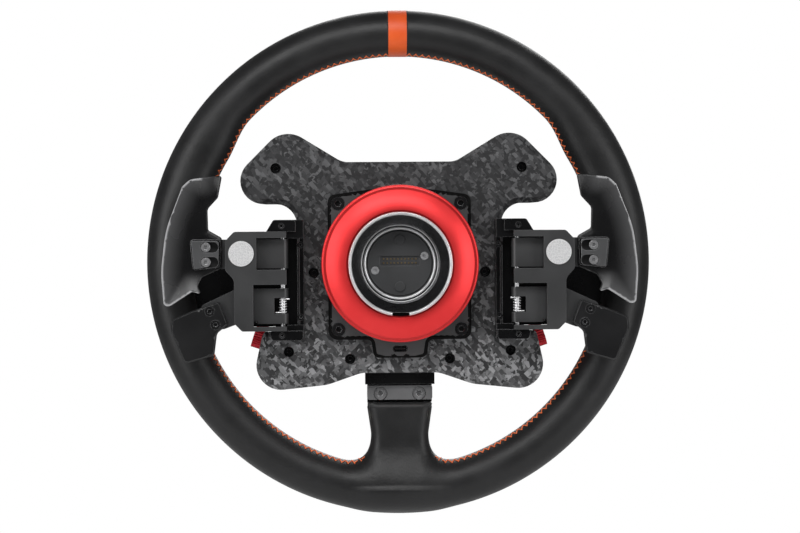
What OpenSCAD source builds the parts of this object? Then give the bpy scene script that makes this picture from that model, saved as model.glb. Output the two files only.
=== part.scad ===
// Racing wheel for a driving simulator: a round leather rim on a flat core, a carbon shell with
// a control panel, two paddle modules and a quick-release socket on the back.
// The back faces -Y, the driver's side faces +Y and the wheel stands upright with +Z up.
// The origin is on the wheel's axis, where the straight wall of the quick-release bore begins.

/* [Rim] */
// Outer diameter of the leather rim
rim_d = 330; // [326:1:334]
// Diameter of the grip's round section
grip_d = 30; // [29:0.5:31]
// Thickness of the leather on the grip
leather_t = 1.6; // [1.2:0.1:2]
// Width of the stripe at the top of the rim
stripe_w = 12; // [8:1:16]
// Thickness of the metal core inside the rim and spokes
core_t = 5; // [4:0.5:5]
// Width of the bottom spoke's metal
spoke_w = 32; // [28:1:34]

/* [Shell] */
// Depth of the carbon shell, from its back face to its seam
shell_depth = 18; // [16:0.5:20]
// Thickness of the shell's walls
shell_t = 2.5; // [2:0.1:3]
// Width of the bevel round the shell's back face
bevel_w = 3.2; // [2:0.1:4]
// Depth of the control housing in front of the shell
housing_depth = 18; // [18:0.5:20]
// Thickness of the driver's panel
panel_t = 2; // [1.6:0.1:3]

/* [Quick release] */
// Radius of the bore that takes the wheel base's shaft
bore_r = 25.2; // [25:0.05:25.4]
// Length of the bore's straight wall
bore_length = 14; // [12:0.5:14]
// Outer radius of the steel socket
socket_r = 33; // [32.5:0.1:33.2]
// Outer radius of the red collar
collar_r = 50.2; // [49:0.1:52]
// How far the collar slides to let the wheel go
collar_travel = 7; // [5:0.5:8]
// Radial clearance of every running fit
running_gap = 0.05; // [0.03:0.01:0.08]

/* [Paddles] */
// Distance of each hinge pin from the middle of the wheel
pin_x = 74.8; // [74.5:0.1:75]
// Diameter of the hinge pins
pin_d = 3; // [2.6:0.1:3.2]
// Radius of the round magnet in each paddle housing
magnet_r = 8.05; // [7.5:0.05:8.5]
// Thickness of the paddle blades
blade_t = 4; // [3:0.1:4.5]

/* [Controls] */
// Radius of the push buttons
button_r = 6; // [5:0.1:6.2]
// How far a push button moves in
button_travel = 1.5; // [1:0.1:1.6]
// Radius of the two rotary knobs
knob_r = 11; // [9:0.5:12]
// Radius of the red thumb rollers
roller_r = 8; // [7:0.1:8.2]
// Number of shift lights
light_count = 10; // [6:1:10]

/* [Hidden] */
$fn = 64;
left = -1;
right = 1;

// Depths along Y, from the wheel base's side to the driver's side
socket_back = -8;
hub_y = 20;
shell_y = 28;
seam_y = shell_y + shell_depth;
panel_y = seam_y + housing_depth;
core_y = seam_y + 4;
frame_y = core_y + core_t;
frame_t = 3.5;
board_y = frame_y + frame_t + 1;
board_t = 1.6;
rim_y = core_y + core_t / 2;

grip_r = grip_d / 2;
ring_r = rim_d / 2 - grip_r;
inner_r = ring_r - grip_r;
foam_r = grip_r - leather_t;
stitch_r = 0.6;

function unit(v) = v / norm(v);
function turn(d) = d > 180 ? d - 360 : d < -180 ? d + 360 : d;

// One corner [x, z, radius] between its neighbours a and c, as points on the rounding arc
function corner_arc(a, b, c, steps) =
  let (p = [b.x, b.y],
       u = unit([a.x, a.y] - p),
       v = unit([c.x, c.y] - p),
       half = acos(u * v) / 2,
       centre = p + unit(u + v) * b[2] / sin(half),
       reach = b[2] / tan(half),
       from = p + u * reach - centre,
       to = p + v * reach - centre,
       start = atan2(from.y, from.x),
       sweep = turn(atan2(to.y, to.x) - start))
  b[2] == 0 ? [p] : [for (k = [0 : steps]) centre + b[2] * [cos(start + sweep * k / steps),
                                                           sin(start + sweep * k / steps)]];

// A closed outline with each of its corners [x, z, radius] rounded
function rounded(c, steps = 8) =
  [for (i = [0 : len(c) - 1])
    each corner_arc(c[(i + len(c) - 1) % len(c)], c[i], c[(i + 1) % len(c)], steps)];

// A half outline given from the top down on the right, joined to its mirror image
function both_sides(c) = concat(c, [for (i = [len(c) - 1 : -1 : 0]) [-c[i].x, c[i].y, c[i][2]]]);

// A clockwise outline moved inwards by d
function inset(line, d) =
  [for (i = [0 : len(line) - 1])
    let (a = unit(line[i] - line[(i + len(line) - 1) % len(line)]),
         b = unit(line[(i + 1) % len(line)] - line[i]),
         n = unit([a.y, -a.x] + [b.y, -b.x]))
    line[i] + n * d / (n * [a.y, -a.x])];

// Extrudes an XZ outline from y0 to y1
module slab(y0, y1) translate([0, y1, 0]) rotate([90, 0, 0]) linear_extrude(y1 - y0) children();

// A round rod along Y
module rod(r, y0, y1, x = 0, z = 0)
  translate([x, y1, z]) rotate([90, 0, 0]) cylinder(r = r, h = y1 - y0);

// A box from one corner to the other
module block(low, high) translate(low) cube(high - low);

// Turns a profile [radius, y] round the wheel's axis, with angles from +X towards +Z
module turned(from = 0, to = 360)
  rotate([-90, 0, 0]) rotate([0, 0, -to]) rotate_extrude(angle = to - from, $fn = 128) children();

// A wire of radius r swept along a path, with its section square to the reference direction
module wire(path, r, reference, sides = 8) {
  last = len(path) - 1;
  points = [for (i = [0 : last])
    let (t = unit(path[min(i + 1, last)] - path[max(i - 1, 0)]),
         s = unit(cross(t, reference)),
         u = cross(s, t))
    each [for (k = [0 : sides - 1])
      path[i] + r * (cos(360 * k / sides) * s + sin(360 * k / sides) * u)]];
  skin = [for (i = [0 : last - 1], k = [0 : sides - 1])
    let (a = i * sides + k, b = i * sides + (k + 1) % sides) [a, b, b + sides, a + sides]];
  start_cap = [for (k = [sides - 1 : -1 : 0]) k];
  end_cap = [for (k = [0 : sides - 1]) last * sides + k];
  polyhedron(points, concat([start_cap], skin, [end_cap]), convexity = 8);
}

// Builds a part on the right as written, and on the left as its mirror image
module on_side(side) if (side == left) mirror([1, 0, 0]) children(); else children();
module on_both_sides() for (side = [left, right]) on_side(side) children();

// Socket-head screw along Y with its head towards the back
module screw(head_r, head_y, shaft_r, head_h, tip_y, x, z) {
  difference() {
    rod(head_r, head_y, head_y + head_h, x, z);
    translate([x, head_y + head_h * 0.6, z]) rotate([90, 0, 0])
      cylinder(r = head_r * 0.5, h = head_h, $fn = 6);
  }
  rod(shaft_r, head_y + head_h - 0.01, tip_y, x, z);
}

// ---- Rim ----

spoke_top = -92;
spoke_cover = rounded(both_sides([[22, spoke_top, 5], [21.4, spoke_top - 9, 8], [18.8, -110, 30],
  [18.8, -133.5, 13], [42, -129, 0], [42, -145, 0]]));
cover_y = [rim_y - 8.5, rim_y + 8.5];
side_spoke_z = [-30, 12];
spoke_bolt_at = [12.6, -85.7];
shoulder_half_w = 21.2;
frame_bolts_at = [[34, 6], [34, -18], [10, -46]];
bolt_r = 2.5;
bolt_head_r = 4.2;
bolt_head_h = 3.5;
shell_screws_at = [[79.5, 61.5], [55.3, -6], [71.8, -57], [32.3, -62]];
shell_screw_r = 1.6;
post_at = [39.5, 38.5];
post_low_z = -42.5;

module grip(r) turned() translate([ring_r, rim_y]) circle(r, $fn = 96);

// Cover of the bottom spoke, eased by a step on both faces
module spoke_body(margin) {
  slab(cover_y[0] + margin + 1.5, cover_y[1] - margin - 1.5) polygon(inset(spoke_cover, margin));
  slab(cover_y[0] + margin, cover_y[1] - margin) polygon(inset(spoke_cover, margin + 1.5));
}

module core_plate(gap = 0) {
  y0 = core_y - gap;
  y1 = core_y + core_t + gap;
  difference() {
    rod(ring_r + 6, y0, y1);
    rod(ring_r - 6, y0 - 1, y1 + 1);
  }
  block([-ring_r, y0, side_spoke_z[0] - gap], [ring_r, y1, side_spoke_z[1] + gap]);
  block([-spoke_w / 2 - gap, y0, -ring_r], [spoke_w / 2 + gap, y1, side_spoke_z[1]]);
  block([-shoulder_half_w, y0, spoke_top + 0.2], [shoulder_half_w, y1, -60]);
}

module stripe_band(depth)
  intersection() {
    difference() {
      grip(grip_r);
      grip(grip_r - depth);
    }
    block([-stripe_w / 2, rim_y - grip_d, inner_r - 5], [stripe_w / 2, rim_y + grip_d, rim_d]);
  }

module rim_core() color("#3a3c3e")
  difference() {
    core_plate();
    rod(24, core_y - 1, frame_y + 1);
    on_both_sides() {
      rod(bolt_r, core_y - 1, frame_y + 1, spoke_bolt_at.x, spoke_bolt_at.y);
      rod(shell_screw_r, core_y - 1, frame_y + 1, shell_screws_at[1].x, shell_screws_at[1].y);
      for (p = frame_bolts_at) rod(bolt_r, core_y - 1, frame_y + 1, p.x, p.y);
      rod(5, core_y - 1, frame_y + 1, post_at.x, post_at.y);
    }
  }

module rim_foam() color("#4b4b46")
  difference() {
    union() {
      grip(foam_r);
      spoke_body(leather_t);
    }
    core_plate();
  }

// The seam runs along the inner edge between the spokes and stops at the stripe
module stitch_bead()
  for (arc = [[20, 87.1], [92.9, 160], [198, 250], [290, 342]])
    turned(arc[0], arc[1]) translate([inner_r - 0.1, rim_y]) circle(stitch_r);

module rim_leather() color("#232325")
  difference() {
    union() {
      grip(grip_r);
      spoke_body(0);
    }
    grip(foam_r);
    spoke_body(leather_t);
    core_plate();
    stripe_band(0.6);
  }

module centre_stripe() color("#e2561d") stripe_band(0.6);

module rim_stitching() color("#e8641f") stitch_bead();

// Bolts of one size hold the core to the frame and the spoke plate to the core
module socket_bolts() color("#2c2d2f")
  on_both_sides() {
    for (p = frame_bolts_at)
      screw(bolt_head_r, core_y - bolt_head_h, bolt_r, bolt_head_h, frame_y + frame_t, p.x, p.y);
    screw(bolt_head_r, core_y - bolt_head_h - 2.5, bolt_r, bolt_head_h, frame_y,
      spoke_bolt_at.x, spoke_bolt_at.y);
  }

// Black stepped bracket between the shell and the bottom spoke
bracket_half_w = 22.6;
step_z = [-79.3, -72];
module spoke_bracket() color("#1b1c1d")
  difference() {
    union() {
      block([-bracket_half_w, seam_y - 8, step_z[0]], [bracket_half_w, core_y, step_z[1]]);
      block([-bracket_half_w, seam_y, step_z[1] - 1], [bracket_half_w, core_y, -54]);
    }
    on_both_sides() rod(bolt_head_r + 0.3, seam_y - 1, core_y + 1, 10, -46);
  }

// Grey plate that clamps the bottom spoke, with two counterbored bolts
module spoke_plate() color("#55585b")
  difference() {
    slab(core_y - 8, core_y)
      polygon(rounded(both_sides([[21.3, -80.4, 1.5], [21.3, -89.7, 1.5]]), 3));
    on_both_sides() {
      rod(4.5, core_y - 9, core_y - 2.5, spoke_bolt_at.x, spoke_bolt_at.y);
      rod(bolt_r, core_y - 9, core_y + 1, spoke_bolt_at.x, spoke_bolt_at.y);
    }
  }

// ---- Shell and control housing ----

shell_line = rounded(both_sides([[36.5, 65.4, 14], [74, 88.3, 17], [123.5, 38.5, 15], [66, 38.5, 14],
  [66, -44, 6], [88.5, -44, 4], [97.4, -84, 16], [47, -78.8, 30], [25, -71.2, 20]]));
hub_line = rounded(both_sides([[19, 47.5, 8], [46, 43.8, 5], [46, -49.1, 6], [18.6, -49.1, 3],
  [16.9, -60.9, 4]]), 6);
roller_at = [90.1, 55, -48.9];
roller_tilt = 18;
roller_w = 11;

// Puts a part on the thumb roller's axis, with its own +Z outwards
module on_roller_axis() translate(roller_at) rotate([0, 90 - roller_tilt, 0]) children();

module rear_shell() color("#2e2f31")
  difference() {
    union() {
      difference() {
        union() {
          slab(shell_y, shell_y + bevel_w) polygon(inset(shell_line, bevel_w));
          slab(shell_y + bevel_w / 3, shell_y + bevel_w) polygon(inset(shell_line, bevel_w * 2 / 3));
          slab(shell_y + bevel_w * 2 / 3, shell_y + bevel_w) polygon(inset(shell_line, bevel_w / 3));
          slab(shell_y + bevel_w, seam_y) polygon(shell_line);
        }
        slab(shell_y + bevel_w, seam_y + 1) polygon(inset(shell_line, shell_t));
      }
      on_both_sides() for (p = shell_screws_at) rod(5.4, shell_y + 1, seam_y, p.x, p.y);
    }
    rod(30, shell_y - 1, shell_y + bevel_w + 1);
    on_both_sides() {
      for (p = shell_screws_at) {
        rod(3.4, shell_y - 1, shell_y + 9, p.x, p.y);
        rod(shell_screw_r, shell_y, seam_y + 1, p.x, p.y);
      }
      for (z = [post_at.y, post_low_z]) rod(bolt_r, shell_y - 1, seam_y, post_at.x, z);
      for (z = bracket_screw_z) rod(1.25, shell_y - 1, seam_y, bracket_screw_x, z);
    }
  }

module shell_screws() color("#26272a")
  on_both_sides() for (p = shell_screws_at)
    screw(2.9, shell_y + 6, shell_screw_r, 3, core_y + core_t, p.x, p.y);

// Black housing between the carbon shell and the driver's panel
module front_housing() color("#1d1e20")
  difference() {
    union() {
      difference() {
        slab(seam_y, panel_y) polygon(shell_line);
        slab(seam_y + 2, panel_y + 1) polygon(inset(shell_line, shell_t));
        block([-52, seam_y - 1, -58], [52, seam_y + 3, 52]);
      }
      on_both_sides() for (i = [0, 2, 3])
        rod(5, seam_y, panel_y - 1, shell_screws_at[i].x, shell_screws_at[i].y);
    }
    on_both_sides() {
      for (p = shell_screws_at) rod(shell_screw_r, seam_y - 1, core_y + core_t, p.x, p.y);
      on_roller_axis() translate([0, 0, -roller_w / 2 - 1])
        cylinder(r = roller_r + 0.6, h = roller_w + 8);
      block([55, core_y, side_spoke_z[0]], [80, frame_y, side_spoke_z[1]]);
    }
    block([-bracket_half_w, seam_y - 1, -95], [bracket_half_w, frame_y, -50]);
  }

// Aluminium plate that ties the posts, the core and the board together
module hub_frame() color("#8d9093")
  difference() {
    union() {
      slab(frame_y, frame_y + frame_t)
        polygon(rounded(both_sides([[60, 50, 6], [60, -54, 6]]), 4));
      on_both_sides() for (z = [44, -36]) rod(3, frame_y, board_y, 54, z);
    }
    rod(20, frame_y - 1, board_y + 1);
    on_both_sides() {
      for (p = frame_bolts_at) rod(bolt_r, frame_y - 1, board_y + 1, p.x, p.y);
      for (z = [post_at.y, post_low_z]) rod(bolt_r, frame_y - 1, board_y + 1, post_at.x, z);
    }
  }

module main_board() color("#1f5c3a")
  difference() {
    slab(board_y, board_y + board_t) polygon(inset(shell_line, shell_t + 1.2));
    on_both_sides() {
      for (i = [0, 2, 3]) rod(5.6, board_y - 1, board_y + 3, shell_screws_at[i].x, shell_screws_at[i].y);
      block([74, board_y - 1, -66], [110, board_y + 3, -34]);
    }
  }

panel_lights_z = 54;
light_pitch = 6.6;
buttons_at = [[64, 70], [89.8, 51.2], [70.8, 49]];
knob_at = [52, -50];
stem_r = 3;

module light_blocks(y0, y1)
  for (i = [0 : light_count - 1])
    translate([(i - (light_count - 1) / 2) * light_pitch - 2.5, y0, panel_lights_z - 2])
      cube([5, y1 - y0, 4]);

module front_panel() color("#26282b")
  difference() {
    slab(panel_y, panel_y + panel_t) polygon(shell_line);
    on_both_sides() {
      for (p = buttons_at) rod(button_r + 0.3, panel_y - 1, panel_y + 9, p.x, p.y);
      rod(stem_r + running_gap, panel_y - 1, panel_y + 9, knob_at.x, knob_at.y);
    }
    light_blocks(panel_y - 1, panel_y + panel_t + 1);
  }

module shift_lights() color("#dfe8ee") light_blocks(board_y + board_t, panel_y + panel_t + 0.5);

module encoder_bodies() color("#3b4a58")
  on_both_sides() {
    difference() {
      block([knob_at.x - 6, board_y + board_t, knob_at.y - 6],
        [knob_at.x + 6, panel_y, knob_at.y + 6]);
      rod(stem_r + running_gap, board_y, panel_y + 1, knob_at.x, knob_at.y);
    }
    on_roller_axis() translate([0, 0, -roller_w / 2 - 8]) difference() {
      cylinder(r = 3.8, h = 7.5);
      translate([0, 0, -1]) cylinder(r = 2 + running_gap, h = 10);
    }
  }

// ---- Hub plate and quick release ----

hub_screw_head_r = 4.2;
module hub_plate() color("#202224")
  difference() {
    slab(hub_y, shell_y) polygon(hub_line);
    rod(30, hub_y - 1, shell_y + 1);
    on_both_sides() for (z = [post_at.y, post_low_z]) {
      rod(hub_screw_head_r + 0.4, hub_y - 1, hub_y + 4, post_at.x, z);
      rod(bolt_r, hub_y - 1, shell_y + 1, post_at.x, z);
    }
    slab(hub_y - 1, shell_y + 1) polygon(usb_line);
  }

module hub_screws() color("#3a3b3d")
  on_both_sides() for (z = [post_at.y, post_low_z])
    screw(hub_screw_head_r, hub_y + 0.5, bolt_r, 3.5, frame_y + frame_t, post_at.x, z);

// Spacers that carry the hub screws from the shell's back wall to the frame
module hub_posts() color("#a9acae")
  on_both_sides() for (z = [post_at.y, post_low_z]) difference() {
    rod(5, shell_y + bevel_w, frame_y, post_at.x, z);
    rod(bolt_r, shell_y, frame_y + 1, post_at.x, z);
  }

usb_z = -55;
usb_line = rounded(both_sides([[4.9, usb_z + 2.2, 2], [4.9, usb_z - 2.2, 2]]), 5);
module usb_socket() color("#9a9da0") {
  difference() {
    slab(hub_y + 0.4, shell_y) polygon(usb_line);
    slab(hub_y, shell_y - 2) polygon(inset(usb_line, 0.5));
  }
  block([-3.3, hub_y + 1.2, usb_z - 0.4], [3.3, shell_y - 1.9, usb_z + 0.4]);
}

sleeve_r = bore_r - 0.3;
disc_r = 20.6;
sleeve_y = bore_length + 1;
disc_y = 18;
floor_y = 26;
module qr_socket() color("#b9bcbe")
  difference() {
    turned() polygon([[socket_r - 0.8, socket_back], [31, socket_back], [bore_r, 0],
      [bore_r, bore_length], [sleeve_r, bore_length], [sleeve_r, floor_y], [8, floor_y],
      [8, shell_y], [30, shell_y], [30, hub_y], [socket_r, hub_y], [socket_r, socket_back + 0.8]]);
    block([-5.4, socket_back - 1, -socket_r - 1], [5.4, -1.5, -30.6]);
  }

module qr_sleeve() color("#cfd1d3")
  turned() polygon([[disc_r, sleeve_y + 0.6], [disc_r + 0.6, sleeve_y], [23.3, sleeve_y],
    [23.3, sleeve_y + 1.5], [24.2, sleeve_y + 1.5], [24.2, sleeve_y], [sleeve_r, sleeve_y],
    [sleeve_r, floor_y], [disc_r, floor_y]]);

slot_z = 1.5;
slot_depth = 1.2;
slot_line = rounded([[-13, slot_z + 3.2, 1], [13, slot_z + 3.2, 1], [13, slot_z - 3.2, 1],
  [-13, slot_z - 3.2, 1]], 4);
connector_screw_at = [15.9, 4.6];
module connector_block() color("#5c5f63")
  difference() {
    union() {
      rod(disc_r, disc_y, floor_y);
      for (z = [15, -15]) rod(3.2, disc_y - 0.8, disc_y + 1, 0, z);
    }
    slab(disc_y - 1, disc_y + slot_depth) polygon(slot_line);
    for (s = [left, right]) {
      rod(2.9, disc_y - 1, disc_y + 2, s * connector_screw_at.x, s * connector_screw_at.y);
      rod(1.25, disc_y - 1, floor_y + 1, s * connector_screw_at.x, s * connector_screw_at.y);
    }
  }

pin_columns = 10;
pin_pitch = 2.3;
module connector_pins() color("#c9a44a")
  for (i = [0 : pin_columns - 1], z = [-1.3, 1.3])
    translate([(i - (pin_columns - 1) / 2) * pin_pitch - 0.5, disc_y + slot_depth / 2, slot_z + z - 0.5])
      cube([1, slot_depth / 2, 1]);

module connector_screws() color("#c4c6c8")
  for (s = [left, right])
    screw(2.6, disc_y, 1.25, 2, floor_y, s * connector_screw_at.x, s * connector_screw_at.y);

// Ribbon from the connector to the board through the middle of the wheel
module ribbon_cable() color("#8a8d91") block([-6, floor_y, -0.5], [6, board_y, 0.5]);

collar_y = -3;
collar_back = hub_y - 2 - collar_travel;
spring_r = 41;
spring_wire_r = 0.8;
recess_y = 6;
collar_face = [for (k = [0 : 6])
  [34.3 + (47 - 34.3) * k / 6, collar_y + 4.2 * pow(k / 6, 1.7)]];
module qr_collar() color("#b81c2b")
  turned() polygon(concat([[socket_r + running_gap, collar_y + 1.3]], collar_face,
    [[48.4, 2.4], [48.9, 4], [48.1, 4.6], [48.1, 5.4], [collar_r - 0.6, 6], [collar_r, 6.8],
     [collar_r, 9.2], [collar_r - 0.8, 10.4], [collar_r - 2, collar_back], [46, collar_back],
     [46, recess_y], [36, recess_y], [36, collar_back], [socket_r + running_gap, collar_back]]));

spring_turns = 3;
spring_steps = 28;
module collar_spring() color("#8f9294")
  wire([for (i = [0 : spring_turns * spring_steps])
    let (a = 360 * i / spring_steps,
         along = i / (spring_turns * spring_steps))
    [spring_r * cos(a),
     recess_y + spring_wire_r + along * (hub_y - recess_y - 2 * spring_wire_r),
     spring_r * sin(a)]], spring_wire_r, [0, 1, 0]);

// ---- Paddle modules, written for the right side ----

pin_y = 13;
knuckle_r = 3.5;
plate_y = [3, 7];
arm_y = [9.5, 12.5];
ear_top_z = [20.9, 28.3];
ear_low_z = [-48.4, -42.4];
bracket_screw_x = 63.6;
bracket_screw_z = [12.3, -34];

module upright(r, z0, z1) translate([pin_x, pin_y, z0]) cylinder(r = r, h = z1 - z0);

base_x = [65, 98];
base_y = [17.6, 22];
module bracket(side) color("#17181a")
  on_side(side) difference() {
    union() {
      block([61.5, 14, ear_low_z[0]], [65.7, shell_y, ear_top_z[1]]);
      block([65, 22, ear_low_z[0]], [80, shell_y, ear_top_z[1]]);
      block([64.2, 8, -43], [65.2, 20, 19]);
      block([base_x[0], base_y[0], -40], [base_x[1], base_y[1], 18.2]);
      block([61.5, 8, 16.6], [72, 11, ear_top_z[1]]);
      block([61.5, 8, ear_low_z[0]], [72, 11, -38.6]);
      slab(6, shell_y) polygon(rounded([[66.5, ear_top_z[1], 2], [80.5, ear_top_z[1], 2],
        [85, ear_top_z[0], 0], [66.5, ear_top_z[0], 0]], 4));
      slab(6, shell_y) polygon(rounded([[62, ear_low_z[1], 0], [83, ear_low_z[1], 1.5],
        [82, ear_low_z[0], 2], [62, ear_low_z[0], 2]], 4));
    }
    upright(pin_d / 2, ear_low_z[0] + 1, ear_top_z[1] - 1);
    for (z = set_screw_z) rod(1.8, 5, pin_y - pin_d / 2, pin_x + 0.6, z);
    for (z = bracket_screw_z) {
      rod(1.25, 7, shell_y + 1, bracket_screw_x, z);
      rod(2.1, 7, 17, bracket_screw_x, z);
    }
    block([78, base_y[1], -39], [81, shell_y + 1, 17]);
  }

set_screw_z = [24.4, -45.3];
module set_screws() color("#3c3e41")
  on_both_sides() for (z = set_screw_z) difference() {
    rod(1.8, 6.3, pin_y - pin_d / 2, pin_x + 0.6, z);
    translate([pin_x + 0.6, 8.3, z]) rotate([90, 0, 0]) cylinder(r = 1, h = 3, $fn = 6);
  }

module bracket_screws() color("#8e9194")
  on_both_sides() for (z = bracket_screw_z)
    screw(2, 15, 1.25, 2, seam_y - 8, bracket_screw_x, z);

housing_line = rounded([[72.3, 20.9, 0], [72.3, -42.4, 0], [100.6, -42.4, 2], [105.5, -37.4, 2],
  [105.5, -9.5, 6], [111, -3.6, 2], [111, 15, 3], [105.4, 20.9, 3]], 5);
magnet_at = [100.9, 7];
upper_window = [-3.3, 16.8, 91.3];
lower_window = [-39.6, -12.8, 93.4];
module paddle_housing(side) color("#4c4e52")
  on_side(side) difference() {
    union() {
      slab(plate_y[0], plate_y[1]) polygon(housing_line);
      block([72.3, 6, 18.6], [104, 21, ear_top_z[0]]);
      block([72.3, 6, ear_low_z[1]], [99, 21, -40.4]);
    }
    for (w = [upper_window, lower_window]) block([70, 2, w[0]], [w[2], 8, w[1]]);
    rod(magnet_r, 2, 8, magnet_at.x, magnet_at.y);
    upright(pin_d / 2, ear_low_z[0], ear_top_z[1]);
  }

module magnets() color("#c8cacb")
  on_both_sides() rod(magnet_r, 2.2, arm_y[0] - 0.3, magnet_at.x, magnet_at.y);

module hinge_pins() color("#d2d4d6")
  on_both_sides() upright(pin_d / 2, ear_low_z[0] + 1, ear_top_z[1] - 1);

shift_arm_z = [-2.6, 16];
shift_screws_at = [[123.4, 11.2], [123.4, 1.7]];
module shift_arm(side) color("#54575b")
  on_side(side) difference() {
    union() {
      upright(knuckle_r, shift_arm_z[0], shift_arm_z[1]);
      block([pin_x, arm_y[0], shift_arm_z[0]], [134, arm_y[1], shift_arm_z[1]]);
    }
    upright(pin_d / 2 + running_gap, -20, 30);
    for (p = shift_screws_at) rod(1.5, 8, 14, p.x, p.y);
  }

// Blade outline: the lip runs down the outer side and the notch at the inner side clears the hinge
shift_line = rounded([[112.8, 56.8, 1.5], [133, 54.3, 8], [137.8, 49.8, 5], [148.6, 22, 60],
  [151.8, -4, 60], [150.2, -25.6, 2.5], [146.4, -26.2, 4], [132, -16.8, 3], [126.2, -18.8, 1],
  [128.8, -13.5, 3], [125.8, -7.6, 3], [113.4, -2.4, 3], [113.1, 17, 3], [121.9, 22, 2],
  [122.2, 35.4, 4], [115.5, 42.6, 4]], 6);
lip_w = 13;
slot_reach = 4.8;
pad_line = rounded([[114.4, -1.6, 2], [114.1, 15.9, 2], [133.4, 16.1, 2], [131.6, -3.5, 2]], 4);
blade_y = [arm_y[0] - blade_t, arm_y[0]];
module shift_paddle(side) color("#121315")
  on_side(side) difference() {
    union() {
      slab(blade_y[0], blade_y[1]) polygon(shift_line);
      slab(blade_y[0] - 1.5, blade_y[0] + 1) polygon(pad_line);
      difference() {
        slab(blade_y[0] - 2.5, blade_y[1]) polygon(shift_line);
        translate([-lip_w, 0, 0]) slab(blade_y[0] - 3, blade_y[0]) polygon(shift_line);
        block([100, blade_y[0] - 3, -30], [138, blade_y[0], 60]);
      }
    }
    for (p = shift_screws_at) {
      hull() {
        rod(3.5, blade_y[0] - 2, blade_y[0] + 1, p.x, p.y);
        rod(3.5, blade_y[0] - 2, blade_y[0] + 1, p.x - slot_reach, p.y);
      }
      rod(1.5, 0, 20, p.x, p.y);
    }
  }

module shift_screws(side) color("#44474a")
  on_side(side) for (p = shift_screws_at)
    screw(3, blade_y[0] - 0.9, 1.5, 1.9, arm_y[1], p.x, p.y);

clutch_arm_z = [-38, -15.4];
spring_z = [-31.2, -21.8];
clutch_screws_at = [[121.3, -29.5], [117.6, -38.1]];
ball_at = [91.9, -36.9];
ball_r = 1.1;
clutch_arm_line = rounded([[pin_x, clutch_arm_z[1], 0], [104, clutch_arm_z[1], 3],
  [127, -26, 3], [124, -42.5, 3], [112, -41, 3], [104, clutch_arm_z[0], 3],
  [pin_x, clutch_arm_z[0], 0]], 4);
module clutch_arm(side) color("#4a4d51")
  on_side(side) difference() {
    union() {
      upright(knuckle_r, clutch_arm_z[0], clutch_arm_z[1]);
      slab(arm_y[0], arm_y[1]) polygon(clutch_arm_line);
    }
    upright(pin_d / 2 + running_gap, -60, 30);
    block([pin_x - 5, 5, spring_z[0] - 0.3], [pin_x + 5.5, 20, spring_z[1] + 0.3]);
    for (p = clutch_screws_at) rod(1.5, 8, 14, p.x, p.y);
  }

clutch_line = rounded([[115.2, -23.4, 1.5], [133, -29.4, 6], [145, -34.6, 2.5],
  [146.1, -41.5, 8], [137.4, -62.8, 3], [118.6, -57.6, 2.5], [116.8, -43.8, 4],
  [109.7, -37.8, 1.5]], 5);
module clutch_paddle(side) color("#141517")
  on_side(side) difference() {
    slab(blade_y[0], blade_y[1]) polygon(clutch_line);
    for (p = clutch_screws_at) {
      rod(3.3, blade_y[0] - 1, blade_y[0] + 2.2, p.x, p.y);
      rod(1.5, 0, 20, p.x, p.y);
    }
  }

module clutch_screws(side) color("#44474a")
  on_side(side) {
    for (p = clutch_screws_at) screw(3, blade_y[0] + 0.3, 1.5, 1.9, arm_y[1], p.x, p.y);
    rod(ball_r, arm_y[0] - ball_r, arm_y[0], ball_at.x, ball_at.y);
    translate([ball_at.x, arm_y[0] - ball_r, ball_at.y]) sphere(ball_r);
  }

// Torsion spring round the pin, with one leg on the arm and one on the bracket
coil_r = 2.15;
coil_wire_r = 0.4;
coil_turns = 7;
coil_steps = 14;
module clutch_spring(side) color("#b7babc")
  on_side(side) wire(concat([[pin_x + 4.8, pin_y - coil_r, spring_z[0] + 0.6]],
    [for (i = [0 : coil_turns * coil_steps])
      let (a = -90 - 360 * i / coil_steps)
      [pin_x + coil_r * cos(a), pin_y + coil_r * sin(a),
       spring_z[0] + 0.6 + (spring_z[1] - spring_z[0] - 1.2) * i / (coil_turns * coil_steps)]],
    [[pin_x - 4.4, pin_y - coil_r, spring_z[1] - 0.6]]), coil_wire_r, [0, 0, 1], 6);

// ---- Rollers, knobs and buttons ----

roller_teeth = 30;
module thumb_roller(side) color("#b3141f")
  on_side(side) on_roller_axis() {
    translate([0, 0, -roller_w / 2]) linear_extrude(roller_w)
      polygon([for (i = [0 : 2 * roller_teeth - 1])
        let (a = 180 * i / roller_teeth, r = i % 2 == 0 ? roller_r : roller_r - 0.55)
        r * [cos(a), sin(a)]]);
    translate([0, 0, -roller_w / 2 - 7.5]) cylinder(r = 2, h = 8);
  }

knob_ribs = 24;
module knob(side) color("#2a2b2e")
  on_side(side) {
    slab(panel_y + panel_t + 0.4, panel_y + panel_t + 13)
      polygon([for (i = [0 : 2 * knob_ribs - 1])
        let (a = 180 * i / knob_ribs, r = i % 2 == 0 ? knob_r : knob_r - 0.7)
        knob_at + r * [cos(a), sin(a)]]);
    rod(knob_r - 2, panel_y + panel_t + 12, panel_y + panel_t + 14, knob_at.x, knob_at.y);
    rod(stem_r, board_y + board_t + 0.4, panel_y + panel_t + 1, knob_at.x, knob_at.y);
  }

// Push button: a domed cap over a flange that the panel keeps in
cap_y = panel_y + panel_t + button_travel + 2.5;
module push_button(side, at) color("#c9cbcd")
  on_side(side) {
    rod(button_r, panel_y - 0.9, cap_y - 0.6, at.x, at.y);
    rod(button_r - 1, panel_y, cap_y, at.x, at.y);
    rod(button_r + 1.2, panel_y - 1.1, panel_y - 0.3, at.x, at.y);
  }

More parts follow.
